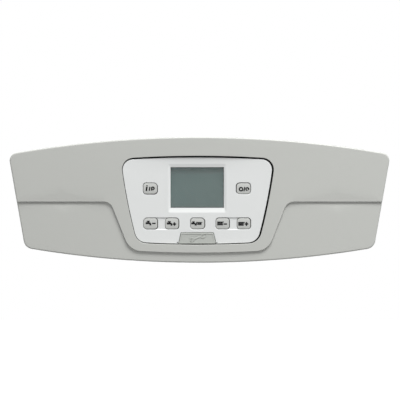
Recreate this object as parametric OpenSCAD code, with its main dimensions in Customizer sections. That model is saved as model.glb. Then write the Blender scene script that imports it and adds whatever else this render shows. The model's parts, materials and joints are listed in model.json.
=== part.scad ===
// Front control panel of a wall-hung condensing boiler, in millimetres.
// X runs to the right, Z up, and the front faces -Y. The plane y = 0 is the rim that seats on the casing,
// and the origin is the middle of the four casing screws.

/* [Panel outline] */
// Height of the panel between the crowns of its top and bottom edges
panel_h = 139; // [130:1:150]
// Width of the panel at half its height
panel_mid_w = 405.6; // [400:0.1:430]
// Angle by which the ends lean in towards the bottom, in degrees
side_lean = 10; // [8:0.5:12]
// Radius of the long arc of the top edge
top_edge_r = 1205; // [1000:5:1800]
// Radius of the long arc of the bottom edge
bottom_edge_r = 1150; // [1000:5:1800]
// Radius of the two upper corners
corner_top_r = 9; // [6:0.5:12]
// Radius of the two lower corners
corner_bottom_r = 10.5; // [7:0.5:13]

/* [Front moulding] */
// Depth of the front moulding from its rim to the crown of its bowed face
front_depth = 26; // [24:0.5:30]
// How far the middle of the face stands ahead of its ends
bow = 14; // [10:0.5:16]
// Wall thickness of the front moulding
skin = 2.6; // [2:0.1:3.2]
// Drop from the raised face to the lower wings
step_drop = 2; // [1:0.1:2.4]
// Height of the step line that divides the face from the wings
step_z = -2.1; // [-8:0.1:4]
// Sideways place of the raised tongue
tongue_x = -0.8; // [-3:0.1:3]
// Half width of the raised tongue where it leaves the step line
tongue_half_w = 97.9; // [94:0.1:104]
// Angle of the tongue's sides from the vertical, in degrees
tongue_lean = 20.9; // [18:0.1:23]
// Width of the low strip under the tongue
tongue_margin = 11; // [8:0.5:12]
// Radius where the step line turns into the tongue
tongue_shoulder_r = 11; // [6:0.5:14]
// Radius of the lower corners of the tongue
tongue_foot_r = 19; // [12:0.5:22]

/* [Opening for the keypad] */
// Sideways place of the opening
opening_x = -1.8; // [-3:0.1:3]
// Height of the opening's top edge above the middle
opening_top_z = 48.9; // [46:0.1:50]
// Width of the opening at the panel's half height
opening_mid_w = 157; // [152:0.5:162]
// Lean of the opening's sides, in degrees
opening_lean = 11; // [9:0.5:13]
// Radius by which the opening's sides bulge
opening_side_r = 600; // [400:10:1200]
// Radius of the opening's upper corners
opening_top_r = 13; // [9:0.5:15]
// Radius of the opening's lower corners
opening_bottom_r = 14.5; // [10:0.5:16]
// Wall thickness of the collar behind the opening
collar_t = 2; // [1.6:0.1:2.4]
// Depth of the collar from the crown of the face
collar_depth = 8.5; // [8:0.1:9.5]

/* [Keypad panel] */
// Sideways place of the keypad panel and all that it carries
group_x = -2.5; // [-3:0.1:1]
// Drop of the keypad panel below the middle of its opening
group_z = -0.35; // [-0.5:0.05:0.3]
// Mean gap between the keypad panel and the opening
keypad_gap = 1.25; // [1:0.05:1.6]
// Depth of the keypad face behind the crown of the front moulding
face_recess = 2.6; // [1.5:0.1:3.2]
// Thickness of the keypad plate
plate_t = 2.5; // [2.2:0.1:3]
// Thickness of the skirt around the keypad panel
skirt_t = 2; // [1.5:0.1:2.5]
// Width of the flange that overlaps the collar
flange_w = 5.5; // [4.5:0.1:6]
// Thickness of the flange
flange_t = 2; // [1.6:0.1:2.4]
// Thickness of the seal between the collar and the flange
seal_t = 1.2; // [0.8:0.1:1.5]
// Distance of the flange screws from the opening's side
keypad_screw_reach = 10.6; // [10.2:0.1:11.4]
// Height of the upper flange screws
keypad_screw_upper_z = 22; // [18:1:24]
// Height of the lower flange screws
keypad_screw_lower_z = -28; // [-32:1:-24]

/* [Display] */
// Width of the visible display
view_w = 59; // [54:0.5:61]
// Height of the visible display
view_h = 45; // [40:0.5:47]
// Gap between the keypad panel's skirt and the top of the display frame
display_drop = 2.5; // [1.8:0.1:4]
// Width of the sloped border at the display's sides
bezel_side = 2.6; // [1.5:0.1:3]
// Width of the sloped border above the display
bezel_top = 3.4; // [2:0.1:4]
// Width of the sloped border below the display
bezel_bottom = 5.2; // [2:0.1:6]
// Depth of the sloped border
bezel_depth = 1.9; // [1:0.1:2.1]
// Thickness of the clear window
window_t = 1.5; // [1:0.1:2]
// How far the window laps behind the plate on each side
window_lap = 2; // [1.5:0.1:2.5]
// Thickness of each glass of the display cell
glass_t = 1.1; // [0.7:0.1:1.1]
// How far the display cell laps behind the plate on each side
cell_lap = 3.5; // [3:0.1:3.5]
// Thickness of the light guide
guide_t = 3.5; // [2.5:0.1:3.5]
// Wall thickness of the display frame
frame_t = 2.8; // [2:0.1:3]

/* [Buttons] */
// Width of a button
key_w = 14.5; // [13:0.1:16]
// Height of a button
key_h = 11.7; // [10.5:0.1:13]
// Corner radius of a button
key_r = 3; // [2:0.1:4]
// How far the curved side of a button bulges
key_bulge = 0.9; // [0.4:0.1:1]
// Gap between the display frame and the lips of the upper buttons
key_side_gap = 6.05; // [4:0.05:8]
// Distance between an outer button and its inner neighbour
key_pitch = 23.4; // [21:0.1:24]
// How much further out the information button stands than the one below it
info_key_out = 0.9; // [0:0.1:2]
// Drop of the upper buttons below the middle of the display
key_upper_drop = 1.2; // [-2:0.1:4]
// Gap between the display frame and the lips of the lower buttons
key_row_gap = 3.85; // [2.5:0.05:5]
// Depth of the shallow pocket round each button
pocket_depth = 0.8; // [0.4:0.1:1]
// Width of the pocket round each button
pocket_w = 1.1; // [0.8:0.1:1.6]
// How far a button stands ahead of the keypad face
key_proud = 0.3; // [0.1:0.1:1]
// Gap between a button and its hole
key_gap = 0.45; // [0.25:0.05:0.5]
// Travel of a button
key_travel = 0.8; // [0.4:0.1:0.9]
// Width of the retaining lip round the back of a button
key_lip = 1.1; // [0.8:0.1:1.2]
// Thickness of the retaining lip
key_lip_t = 1.2; // [0.8:0.1:1.5]
// Radius of a button's stem
stem_r = 2.5; // [2:0.1:3]

/* [Service flap] */
// Half width of the flap at its top
flap_top_half = 17.9; // [15:0.1:19]
// Half width of the flap at its bottom
flap_bottom_half = 20.6; // [19:0.1:22]
// Gap between the pockets of the lower buttons and the flap
flap_drop = 3.05; // [2:0.05:4]
// Height of the flap
flap_h = 12.2; // [11:0.1:13]
// Thickness of the flap
flap_t = 2.4; // [2:0.1:2.6]
// Gap round the flap
flap_gap = 0.45; // [0.3:0.05:0.6]
// Radius of the flap's hinge pins
flap_pin_r = 0.8; // [0.6:0.05:0.9]
// Radial clearance of the hinge pins
flap_pin_play = 0.08; // [0.03:0.01:0.1]
// Length of each hinge pin outside the flap
flap_pin_l = 1.6; // [1.2:0.1:2]
// Height of the hinge axis above the flap's lower edge
flap_axis_up = 1.7; // [1.7:0.05:1.8]
// Width of the raised border on the flap
flap_rim_w = 0.9; // [0.5:0.1:1.2]
// Height of the raised border and of the spanner sign
relief_h = 0.35; // [0.2:0.05:0.5]
// Length of the raised spanner sign
spanner_l = 17.5; // [12:0.5:19]
// Tilt of the spanner sign, in degrees
spanner_tilt = 18; // [10:1:20]

/* [Service socket] */
// Width of the socket's cavity
port_w = 11; // [9:0.1:12]
// Height of the socket's cavity
port_h = 6.4; // [5.5:0.1:6.6]
// Depth of the socket's cavity
port_depth = 8; // [6:0.1:8]
// Wall thickness of the socket
port_wall = 1.8; // [1.4:0.1:1.9]

/* [Boards] */
// Thickness of the circuit boards
board_t = 1.6; // [1.2:0.1:2]
// Space between the keypad plate and the display board
board_space = 10.4; // [10:0.1:11]
// How far the display board reaches past the middle of the outer buttons
display_board_side = 10.6; // [9:0.1:12]
// Distance from the opening's top edge down to the display board
display_board_top_inset = 5.9; // [5:0.1:8]
// Distance from the opening's bottom edge up to the display board
display_board_low_inset = 2.8; // [1.5:0.1:4]
// Distance of the display board's screws from its sides
display_screw_side_inset = 6; // [5:0.1:7]
// Distance of the display board's upper screws from its top
display_screw_top_inset = 13; // [10:0.5:15]
// Distance of the display board's lower screws from its bottom
display_screw_low_inset = 6.5; // [5:0.1:7]
// Space between the display board and the main board
board_gap = 14.9; // [14.9:0.1:17]
// Gap between the main board and the box's sides, wall included
main_board_side_gap = 13; // [10:0.5:15]
// Gap between the main board and the box's upper and lower sides, wall included
main_board_edge_gap = 6; // [5:0.5:7]

/* [Control box] */
// Distance from the panel's end at half its height to the box's side
box_side_margin = 37.8; // [35:0.1:42]
// Distance from the crown of the panel's edges to the box
box_edge_margin = 19.5; // [18.5:0.1:22]
// Depth of the control box behind the rim plane
box_depth = 46; // [45:0.5:52]
// Wall thickness of the control box
box_wall = 2.2; // [1.8:0.1:2.6]
// Distance of the box's front edge ahead of the rim plane
box_front = 5; // [4.5:0.1:5.5]
// Distance of the ear screws from the box's side
ear_reach = 8; // [7.5:0.1:9]
// Distance of the ear screws from the box's upper and lower sides
ear_inset = 12; // [10:0.5:16]
// Thickness of the ears
ear_t = 2.5; // [2:0.1:3]

/* [Casing screws] */
// Distance of a casing screw from its ear screw, sideways
casing_reach = 13; // [12:0.1:13.5]
// Distance of a casing screw from its ear screw, in height
casing_drop = 4; // [3:0.5:8]
// Radius of the pilot holes for the casing screws
casing_hole_r = 1.6; // [1.4:0.05:1.8]
// Depth of the pilot holes
casing_hole_depth = 9; // [6:0.5:9.5]
// Radius of the casing bosses
casing_boss_r = 4.5; // [4:0.1:4.6]

/* [Cable entries] */
// Distance of the mains cable entry from the middle of the terminals
entry_first_reach = 20.75; // [19:0.25:23]
// Distance between two cable entries
entry_pitch = 24; // [22:1:26]
// Bore radius of the mains cable entry
mains_entry_r = 4.5; // [3.5:0.25:5]
// Bore radius of the two signal cable entries
signal_entry_r = 3.5; // [2.5:0.25:4.5]
// Distance of the cable entries behind the main board
entry_rise = 18.4; // [17:0.1:20]
// Wall of a grommet round its bore
grommet_wall = 2.5; // [2:0.1:3]
// Width of a grommet's flanges
grommet_lip = 2.2; // [1.5:0.1:2.4]
// Thickness of a grommet's flanges
grommet_flange_t = 2.2; // [1.5:0.1:2.5]

/* [Terminal window] */
// Distance from the mains terminals to the window's sides
window_margin = 3.75; // [2:0.25:4.5]
// Distance from the box's lower side to the window
window_low_inset = 6; // [6:0.5:8]
// Height of the window in the box's rear wall
window_h = 62; // [56:1:64]
// How far the terminal cover laps over the wall
cover_lap = 5; // [4.5:0.1:5.5]
// Thickness of the terminal cover
cover_t = 2; // [1.6:0.1:2.4]

/* [Hidden] */

// Smoothness of small and of very large round shapes
$fn = 48;
bow_fn = 720;
// Points along a long arc and round a corner of an outline
arc_steps = 14;
corner_steps = 8;
// Reach of cutting shapes past the part, and a hair's overlap for cuts
far = 300;
eps = 0.01;
// Reach of a cut past the surface that it opens
over = 1;
// Gap that keeps a moving piece clear of its neighbours, a snug gap, and play of a screw in its pilot hole
clear = 0.3;
snug = 0.1;
screw_play = 0.05;

bow_half_w = 210;
bow_r = (pow(bow_half_w, 2) + pow(bow, 2)) / (2 * bow);

// Control box, its ears and the casing screws
box_w = panel_mid_w - 2 * box_side_margin;
box_h = panel_h - 2 * box_edge_margin;
ear_x = box_w / 2 + ear_reach;
ear_z = box_h / 2 - ear_inset;
casing_spacing_x = 2 * (ear_x + casing_reach);
casing_spacing_z = 2 * (ear_z - casing_drop);
main_board_w = box_w - 2 * main_board_side_gap;
main_board_h = box_h - 2 * main_board_edge_gap;

// Heights on the keypad panel, from the top down to the lower edge of the opening
frame_top_z = opening_top_z - keypad_gap + group_z - skirt_t - display_drop;
view_z = frame_top_z - frame_t - clear - cell_lap - view_h / 2;
frame_low_z = view_z - view_h / 2 - cell_lap - clear - frame_t;
key_upper_z = view_z - key_upper_drop;
key_lower_z = frame_low_z - key_row_gap - key_lip - key_h / 2;
flap_top_z = key_lower_z - key_h / 2 - pocket_w - flap_drop;
flap_bottom_z = flap_top_z - flap_h;
opening_low_z = keypad_gap + group_z - flap_bottom_z;

// Distances from the middle of the keypad panel to its buttons
frame_half_w = view_w / 2 + cell_lap + clear + frame_t;
key_outer_x = frame_half_w + key_side_gap + key_lip + key_bulge + key_w / 2;
key_inner_x = key_outer_x - key_pitch;
info_key_x = -key_outer_x - info_key_out;

// Display board
display_board_w = 2 * (key_outer_x + display_board_side);
display_board_top = opening_top_z - display_board_top_inset;
display_board_bottom = display_board_low_inset - opening_low_z;

// Places along Y, from the front to the back
crown_y = -front_depth;
face_y = crown_y + face_recess;
plate_y = face_y + plate_t;
collar_y = crown_y + collar_depth;
flange_y = collar_y + seal_t;
flange_back_y = flange_y + flange_t;
window_back_y = plate_y + window_t;
cell_back_y = window_back_y + 2 * glass_t;
guide_back_y = cell_back_y + guide_t;
display_board_y = plate_y + board_space;
display_back_y = display_board_y + board_t;
main_board_y = display_back_y + board_gap;
main_back_y = main_board_y + board_t;
entry_y = main_back_y + entry_rise;
box_floor_y = box_depth - box_wall;
cover_back_y = box_depth + cover_t;

// Buttons and their switches
key_front_y = face_y - key_proud;
key_lip_y = plate_y + clear;
stem_stop = 5;
stem_tip_y = display_board_y - stem_stop;
switch_w = 6;
switch_h = 3.5;
switch_floor = 1;
switch_front_y = display_board_y - switch_h;
plunger_r = 1.75;
plunger_l = 3;

// Service flap
flap_proud = 0.2;
flap_front_y = face_y - flap_proud;
flap_back_y = flap_front_y + flap_t;
flap_axis_depth = 1.7;
flap_axis_y = flap_front_y + flap_axis_depth;
flap_axis_z = flap_bottom_z + flap_axis_up;
flap_corner_r = 1.6;
hinge_block_w = 4;
hinge_block_h = 4;
hinge_block_t = 2;
flap_swing_room = 2.3;
notch_back_y = flap_axis_y + flap_swing_room;
socket_front_y = notch_back_y;
port_drop = 4.6;
port_z = flap_top_z - port_drop;
flap_lower_r = 0.8;
flap_lean = (flap_bottom_half - flap_top_half) / flap_h;
flap_waist_half = flap_bottom_half - flap_lean * flap_axis_up;
flap_rim_inset = 0.7;

// Spanner sign: radius of its heads, its slot, its shaft, and its place on the flap
spanner_head_r = 2.3;
spanner_slot = [3.2, 1.8];
spanner_shaft_h = 1.5;
spanner_x = 1;
spanner_up = 0.4;

// Screws: radius of the shank, of the head, and the head's height
small_screw = [1.1, 2.2, 1.4];
large_screw = [1.5, 3, 1.8];

// Walls round the screws' pilot holes, and how deep each screw and each pilot hole goes
small_boss_wall = 2;
large_boss_wall = 2.4;
ear_bite = 5;
ear_pilot = 6;
keypad_bite = 2.8;
keypad_pilot = 3.5;
keypad_tab_r = 4;
display_bite = 5.4;
display_pilot = 6;
main_bite = 6.4;
main_pilot = 8;
cover_bite = 5;
cover_pilot = 6;
clamp_bite = 6;
earth_bite = 2;
seal_lap = 0.8;

// Display: contact ledge at the foot of the cell, laps of the light guide, strips and lamps
ledge_h = 3;
guide_low_lap = 0.5;
guide_lap = 2;
strip_size = [29, 1.8];
strip_gap = 2;
lamp_count = 4;
lamp_pitch = 14;
lamp_size = [3.5, 2.8];

// Chips on the display board: x from the middle of the keypad panel, z, width and height
display_chip_spots = [
    [-26, view_z - 9.7, 14, 14],
    [22, view_z - 11.7, 9, 6],
    [26, view_z - 29.7, 6, 5]
];

// Screws of the keypad flange and of the display board, right side, as x and z
keypad_screw_spots = [for (z = [keypad_screw_upper_z, keypad_screw_lower_z])
    [side_x(z, opening_mid_w / 2, opening_lean, opening_side_r) + keypad_screw_reach, z]];
display_screw_x = display_board_w / 2 - display_screw_side_inset;
display_screw_spots = [
    [display_screw_x, display_board_top - display_screw_top_inset],
    [display_screw_x, display_board_bottom + display_screw_low_inset]
];

// Sizes of what stands on the main board
terminal_pitch = 9.5;
terminal_count = 7;
capacitor_r = 8;
choke_r = 8;
choke_wire_r = 4;
fuse_base = [28, 9, 4];
sink_size = [40, 26, 24];
core_size = [54, 45, 20];

// The main board's parts stand in columns with equal gaps: transformer, capacitors, choke, fuses,
// heat sink and terminals
column_w = [
    core_size.x, 2 * capacitor_r, 2 * (choke_r + choke_wire_r), fuse_base.x, sink_size.x,
    terminal_pitch * terminal_count
];
column_left = 5;
column_right = 22;
columns = len(column_w);
column_gap = (main_board_w - column_left - column_right - sum(column_w, columns)) / (columns - 1);
window_x = column_x(columns - 1);

// Cable entries, the mains entry first
entry_x = [for (i = [0:2]) window_x - entry_first_reach + i * entry_pitch];
entry_r = [mains_entry_r, signal_entry_r, signal_entry_r];

// Posts of the main board, as x and z
main_post_inset = 6;
main_post_mid_x = column_x(4) - 14;
main_post_x = [-main_board_w / 2 + main_post_inset, main_post_mid_x, main_board_w / 2 - main_post_inset];
main_post_z = main_board_h / 2 - main_post_inset;
post_r = 3.2;

// Control box: corners, ears, vent slots and the ribs on its rear wall
box_corner_r = 6;
ear_r = 5;
vent_w = 2.4;
vent_pitch = 5;
vent_count = 6;
vent_l = 24;
rib_w = 1.6;
rib_h = 1.2;
rib_inset = 12;
rib_left = -box_w / 2 + rib_inset;
rib_right = column_x(4) - sink_size.x;
rib_z = box_h / 2 - rib_inset;
rib_count = 5;

// Terminal window and its cover
window_w = column_w[columns - 1] + 2 * window_margin;
window_low_z = -box_h / 2 + window_low_inset;
window_z = window_low_z + window_h / 2;
cover_post_r = 3.4;
cover_screw_reach = window_w / 2 + cover_post_r + snug;
cover_screw_x = [window_x - cover_screw_reach, window_x + cover_screw_reach];
cover_screw_z = window_z;
cover_post_l = 8;
cover_corner_r = 3;
cover_over = 2;
cover_lip_play = 0.5;
cover_lip_t = 1.5;
cover_lip_l = 4;

// Terminal blocks and the earth strip, seen through the window
terminal_x = window_x;
terminal_z = window_low_z + 30;
terminal_block_h = 15;
terminal_block_t = 16;
terminal_well_r = 2.6;
terminal_well_l = 6;
terminal_screw_h = 3;
terminal_slot = [0.5, 1];
wire_hole_r = 1.6;
wire_hole_drop = 2;
sensor_pitch = 5;
sensor_count = 8;
sensor_x = window_x;
sensor_z = terminal_z + 26;
sensor_block_h = 9;
sensor_block_t = 12;
sensor_well_r = 1.5;
sensor_hole_r = 1;
earth_spot = [window_x + 15, terminal_z - 18];
earth_size = [34, 7, 3];
earth_screw_dx = [-11, 0, 11];
earth_floor = 0.5;

// Row of wire headers along the top of the main board
header_pitch = 22;
header_inset = [20, 24];
header_spots = concat(
    [for (i = [0:2]) -main_board_w / 2 + header_inset[0] + i * header_pitch],
    [column_x(2) - 5, column_x(2) - 5 + header_pitch],
    [for (i = [0:2]) main_board_w / 2 - header_inset[1] - i * header_pitch]
);
header_size = [16, 8, 12];
header_wall = 1.2;
header_floor = 3;
header_z = main_board_h / 2 - 5;

// Transformer, choke, fuses and heat sink
transformer_spot = [column_x(0), -8];
core_leg = 18;
core_window = [9, 27];
coil_t = 30;
choke_spot = [column_x(2), 2];
fuse_spots = [for (z = [-6, -22]) [column_x(3), z]];
fuse_l = 20;
fuse_r = 2.6;
fuse_clip = [4, 1];
fuse_clip_inset = 2.5;
sink_rise = 28;
sink_spot = [column_x(4), sink_rise - main_board_h / 2];
sink_base_t = 3;
sink_fin_t = 1.4;
sink_fins = 8;
power_switch_size = [10, 4.4, 18];
power_switch_x = [-10, 10];

// Relays, capacitors (x, z, radius and height) and chips (x, z, width and height)
relay_count = 4;
relay_pitch = 22;
relay_x = (column_x(3) + column_x(4)) / 2;
relay_drop = 18;
relay_z = main_board_h / 2 - relay_drop;
relay_size = [18, 15, 15.5];
capacitor_drop = 19;
capacitor_top_z = main_board_h / 2 - capacitor_drop;
capacitor_spots = [
    [column_x(1), capacitor_top_z, capacitor_r, 24],
    [column_x(1), capacitor_top_z - 17, 6.5, 20],
    [column_x(1), capacitor_top_z - 33, 6.5, 20],
    [column_x(1), capacitor_top_z - 49, 5, 12]
];
chip_z = (relay_z - relay_size.y / 2 + sink_spot.y + sink_size.y / 2) / 2;
chip_spots = [
    [column_x(2), -28, 14, 14],
    [column_x(4) + 8, chip_z, 10, 10],
    [column_x(4) - 12, chip_z, 9, 6]
];
chip_t = 1.6;

// Cord clamp over the mains entry
clamp_x = entry_x[0];
clamp_h = 6.4;
clamp_post_r = 3;
clamp_seat_t = 4;
clamp_leg_w = 3;
clamp_bar_t = 3;
clamp_cord_gap = 1.5;
grommet_outer_r = [for (r = entry_r) r + grommet_wall - snug + grommet_lip];
clamp_post_dx = grommet_outer_r[0] + clear;
clamp_z = -box_h / 2 + box_wall + grommet_flange_t + clear + clamp_h / 2;
clamp_seat_y = entry_y - entry_r[0] - clamp_cord_gap;
clamp_bar_y = entry_y + entry_r[0];

// Ribbon cable between the boards
ribbon_w = 18;
ribbon_t = 0.9;
ribbon_top_z = display_board_top - 13;
ribbon_low_z = -6;
ribbon_bend_r = 2;
ribbon_socket = [24, 7, 5];

function unit(v) = v / norm(v);

function arc_points(c, r, from, turn, steps) =
    [for (i = [0:steps]) c + r * [cos(from + turn * i / steps), sin(from + turn * i / steps)]];

// Arc that rounds the corner p between its neighbours a and b
function round_corner(p, a, b, r, steps = corner_steps) =
    let (
        u = unit(a - p),
        v = unit(b - p),
        half = acos(u * v) / 2,
        c = p + unit(u + v) * r / sin(half),
        s = p + u * r / tan(half),
        e = p + v * r / tan(half),
        from = atan2(s.y - c.y, s.x - c.x),
        to = atan2(e.y - c.y, e.x - c.x),
        turn = (to - from + 540) % 360 - 180
    )
    arc_points(c, r, from, turn, steps);

function sum(values, count) = count == 0 ? 0 : values[count - 1] + sum(values, count - 1);

// Middle of column i of the main board's parts
function column_x(i) =
    -main_board_w / 2 + column_left + sum(column_w, i) + i * column_gap + column_w[i] / 2;

// Place of item i in a row of count items round mid
function row_x(mid, pitch, count, i) = mid + (i - (count - 1) / 2) * pitch;

function mirrored(points) = [for (i = [len(points) - 1:-1:0]) [-points[i].x, points[i].y]];

// Height of a crowned edge, and half width of a leaning and bulging side
function edge_z(x, crown, r) = crown - r + sqrt(r * r - x * x);
function side_x(z, half, lean, side_r) = half + tan(lean) * z - (side_r > 0 ? z * z / (2 * side_r) : 0);

// Corner where a side meets the upper crowned edge, or the lower one when sign is -1
function crown_corner(crown, r, half, lean, side_r, sign, x, rounds = 6) =
    rounds == 0
        ? [x, sign * edge_z(x, crown, r)]
        : crown_corner(crown, r, half, lean, side_r, sign,
            side_x(sign * edge_z(x, crown, r), half, lean, side_r), rounds - 1);

// Outline with crowned top and bottom and leaning sides, drawn in by inset
function shield(top, top_r, low, low_r, half, lean, side_r, round_top, round_low, inset) =
    let (
        h = half - inset / cos(lean),
        tr = top_r - inset,
        lr = low_r - inset,
        tp = crown_corner(top - inset, tr, h, lean, side_r, 1, h),
        lp = crown_corner(low - inset, lr, h, lean, side_r, -1, h),
        rt = max(round_top - inset, 1),
        rl = max(round_low - inset, 1),
        xt = tp.x - 1.6 * rt,
        xl = lp.x - 1.6 * rl,
        top_arc = [for (i = [0:arc_steps]) let (x = xt * i / arc_steps) [x, edge_z(x, top - inset, tr)]],
        low_arc = [for (i = [arc_steps:-1:0]) let (x = xl * i / arc_steps) [x, -edge_z(x, low - inset, lr)]],
        zt = tp.y - 1.6 * rt,
        zl = lp.y + 1.6 * rl,
        n = side_r > 0 ? 6 : 1,
        side = [for (i = [0:n]) let (z = zt + (zl - zt) * i / n) [side_x(z, h, lean, side_r), z]],
        right = concat(
            top_arc,
            round_corner(tp, top_arc[arc_steps], side[0], rt),
            side,
            round_corner(lp, side[n], low_arc[0], rl),
            low_arc
        ),
        left = mirrored(right)
    )
    concat(right, [for (i = [1:len(left) - 2]) left[i]]);

function panel_outline(inset) =
    shield(panel_h / 2, top_edge_r, panel_h / 2, bottom_edge_r, panel_mid_w / 2, side_lean, 0,
        corner_top_r, corner_bottom_r, inset);

function opening_outline(inset) =
    shield(opening_top_z, top_edge_r - (panel_h / 2 - opening_top_z),
        opening_low_z, bottom_edge_r - (panel_h / 2 - opening_low_z),
        opening_mid_w / 2, opening_lean, opening_side_r, opening_top_r, opening_bottom_r, inset);

// Raised face with its tongue: everything above the step line, drawn in by inset
function raised_outline(inset) =
    let (
        low = panel_h / 2 - tongue_margin - inset,
        low_r = bottom_edge_r - tongue_margin - inset,
        foot_half = side_x(-low - step_z, tongue_half_w - inset / cos(tongue_lean), tongue_lean, 0),
        foot = [foot_half, -edge_z(foot_half, low, low_r)],
        top_half = tongue_half_w - inset / cos(tongue_lean) + inset * tan(tongue_lean),
        shoulder = [top_half, step_z + inset],
        foot_r = tongue_foot_r - inset,
        xl = foot.x - foot_r,
        low_arc = [for (i = [arc_steps:-1:0]) let (x = xl * i / arc_steps) [x, -edge_z(x, low, low_r)]],
        right = concat(
            [[0, far], [far, far], [far, step_z + inset]],
            round_corner(shoulder, [far, step_z + inset], foot, tongue_shoulder_r + inset),
            round_corner(foot, shoulder, low_arc[0], foot_r),
            low_arc
        ),
        left = mirrored(right)
    )
    concat(right, [for (i = [1:len(left) - 2]) left[i]]);

function rounded_rect(w, h, r) =
    let (
        p = [[w / 2, h / 2], [w / 2, -h / 2], [-w / 2, -h / 2], [-w / 2, h / 2]]
    )
    [for (i = [0:3]) each round_corner(p[i], p[(i + 3) % 4], p[(i + 1) % 4], r, 5)];

// Outline of a button with one bulging side: 1 for the right, -1 for the left, 0 for none
function key_outline(bulge, grow) =
    let (
        w = key_w / 2 + grow,
        h = key_h / 2 + grow,
        r = key_r + grow,
        corners = [for (p = rounded_rect(2 * w, 2 * h, r)) p]
    )
    [for (p = corners)
        let (share = 1 - pow(p.y / h, 2))
        [p.x + (bulge * p.x > 0 ? bulge * key_bulge * share : 0), p.y]];

function flap_outline(grow) =
    let (
        dx = grow * (sqrt(1 + flap_lean * flap_lean) - flap_lean),
        top = [flap_top_half + dx, flap_top_z + grow],
        low = [flap_bottom_half + dx + 2 * grow * flap_lean, flap_bottom_z - grow],
        right = concat(
            round_corner(top, [0, top.y], low, max(flap_corner_r + grow, 0.3), 5),
            [low]
        )
    )
    concat(right, mirrored(right));

// Extrudes an outline in x and z between two places along Y
module along_y(y0, y1) {
    translate([0, y1, 0]) rotate([90, 0, 0]) linear_extrude(height = y1 - y0) children();
}

module slab(x, z, w, h, y0, y1) {
    translate([x - w / 2, y0, z - h / 2]) cube([w, y1 - y0, h]);
}

module post(x, z, r, y0, y1) {
    translate([x, y1, z]) rotate([90, 0, 0]) cylinder(r = r, h = y1 - y0);
}

module both_sides() {
    children();
    mirror([1, 0, 0]) children();
}

// Screw whose head stands at y and whose shank runs forward, with a cross recess
module screw_forward(x, z, size, y, length) {
    slot_l = size[1] * 1.2;
    slot_w = 0.6;
    slot_y = y + size[2] * 0.4;
    difference() {
        union() {
            post(x, z, size[0] - screw_play, y - length, y + eps);
            post(x, z, size[1], y, y + size[2]);
        }
        slab(x, z, slot_l, slot_w, slot_y, y + size[2] + over);
        slab(x, z, slot_w, slot_l, slot_y, y + size[2] + over);
    }
}

// Screw whose head stands ahead of y and whose shank runs back
module screw_back(x, z, size, y, length) {
    translate([0, 2 * y, 0]) mirror([0, 1, 0]) screw_forward(x, z, size, y, length);
}

// The round body that gives the face its bow, drawn in by inset
module bow_body(inset) {
    translate([0, crown_y + bow_r, 0]) cylinder(r = bow_r - inset, h = far, center = true, $fn = bow_fn);
}

// Body between the bowed face and the plane y1, where the raised face stands ahead of the wings
module bowed(inset, y1) {
    intersection() {
        along_y(crown_y - over, y1) polygon(panel_outline(inset));
        bow_body(step_drop + inset);
    }
    intersection() {
        along_y(crown_y - over, y1) polygon(panel_outline(inset));
        translate([tongue_x, 0, 0]) along_y(crown_y - over, y1) polygon(raised_outline(inset));
        bow_body(inset);
    }
}

module opening_prism(inset, y0, y1) {
    translate([opening_x, 0, 0]) along_y(y0, y1) polygon(opening_outline(inset));
}

module keypad_prism(inset, y0, y1) {
    translate([group_x, 0, group_z]) along_y(y0, y1) polygon(opening_outline(keypad_gap + inset));
}

module casing_spots() {
    for (sx = [-1, 1], sz = [-1, 1])
        translate([sx * casing_spacing_x / 2, 0, sz * casing_spacing_z / 2]) children();
}

module ear_spots() {
    for (sx = [-1, 1], sz = [-1, 1]) translate([sx * ear_x, 0, sz * ear_z]) children();
}

module keypad_spots() {
    translate([group_x, 0, 0]) both_sides() for (p = keypad_screw_spots) translate([p.x, 0, p.y]) children();
}

module display_spots() {
    translate([group_x, 0, 0]) both_sides() for (p = display_screw_spots) translate([p.x, 0, p.y]) children();
}

// Front moulding: a bowed shell with a raised tongue, an opening with a collar, and screw bosses
module fascia() {
    color([0.74, 0.75, 0.73]) difference() {
        union() {
            difference() {
                bowed(0, 0);
                bowed(skin, over);
            }
            intersection() {
                bowed(0, 0);
                union() {
                    opening_prism(-collar_t, crown_y - over, collar_y);
                    casing_spots() post(0, 0, casing_boss_r, crown_y, 0);
                    ear_spots() post(0, 0, large_screw[0] + large_boss_wall, crown_y, -box_front);
                    keypad_spots() post(0, 0, small_screw[0] + small_boss_wall, crown_y, flange_y);
                }
            }
        }
        opening_prism(0, crown_y - over, over);
        casing_spots() post(0, 0, casing_hole_r, -casing_hole_depth, over);
        ear_spots() post(0, 0, large_screw[0], -box_front - ear_pilot, over);
        keypad_spots() post(0, 0, small_screw[0], flange_y - keypad_pilot, over);
    }
}

// Rubber ring between the collar and the flange of the keypad panel
module keypad_seal() {
    color([0.1, 0.1, 0.1]) difference() {
        opening_prism(-collar_t - seal_lap, collar_y, flange_y);
        opening_prism(snug, collar_y - over, flange_y + over);
    }
}

// Places of the buttons, as x and z from the middle of the keypad panel
module key_at(x, z) {
    translate([group_x + x, 0, z]) children();
}

// Pocket in the keypad face round one button, or round two that are linked
module key_pocket(x, z, w) {
    key_at(x, z) along_y(face_y - over, face_y + pocket_depth)
        polygon(rounded_rect(w + 2 * pocket_w, key_h + 2 * pocket_w, key_r + pocket_w));
}

module key_hole(x, z, bulge) {
    key_at(x, z) along_y(face_y - over, plate_y + over) polygon(key_outline(bulge, key_gap));
}

// Bevelled hole for the display
module display_aperture() {
    translate([group_x, 0, view_z]) {
        slab(0, 0, view_w, view_h, face_y - over, plate_y + over);
        hull() {
            slab(0, 0, view_w, view_h, face_y + bezel_depth - eps, face_y + bezel_depth);
            slab(0, (bezel_top - bezel_bottom) / 2, view_w + 2 * bezel_side,
                view_h + bezel_top + bezel_bottom, face_y - eps, face_y);
        }
    }
}

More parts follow.
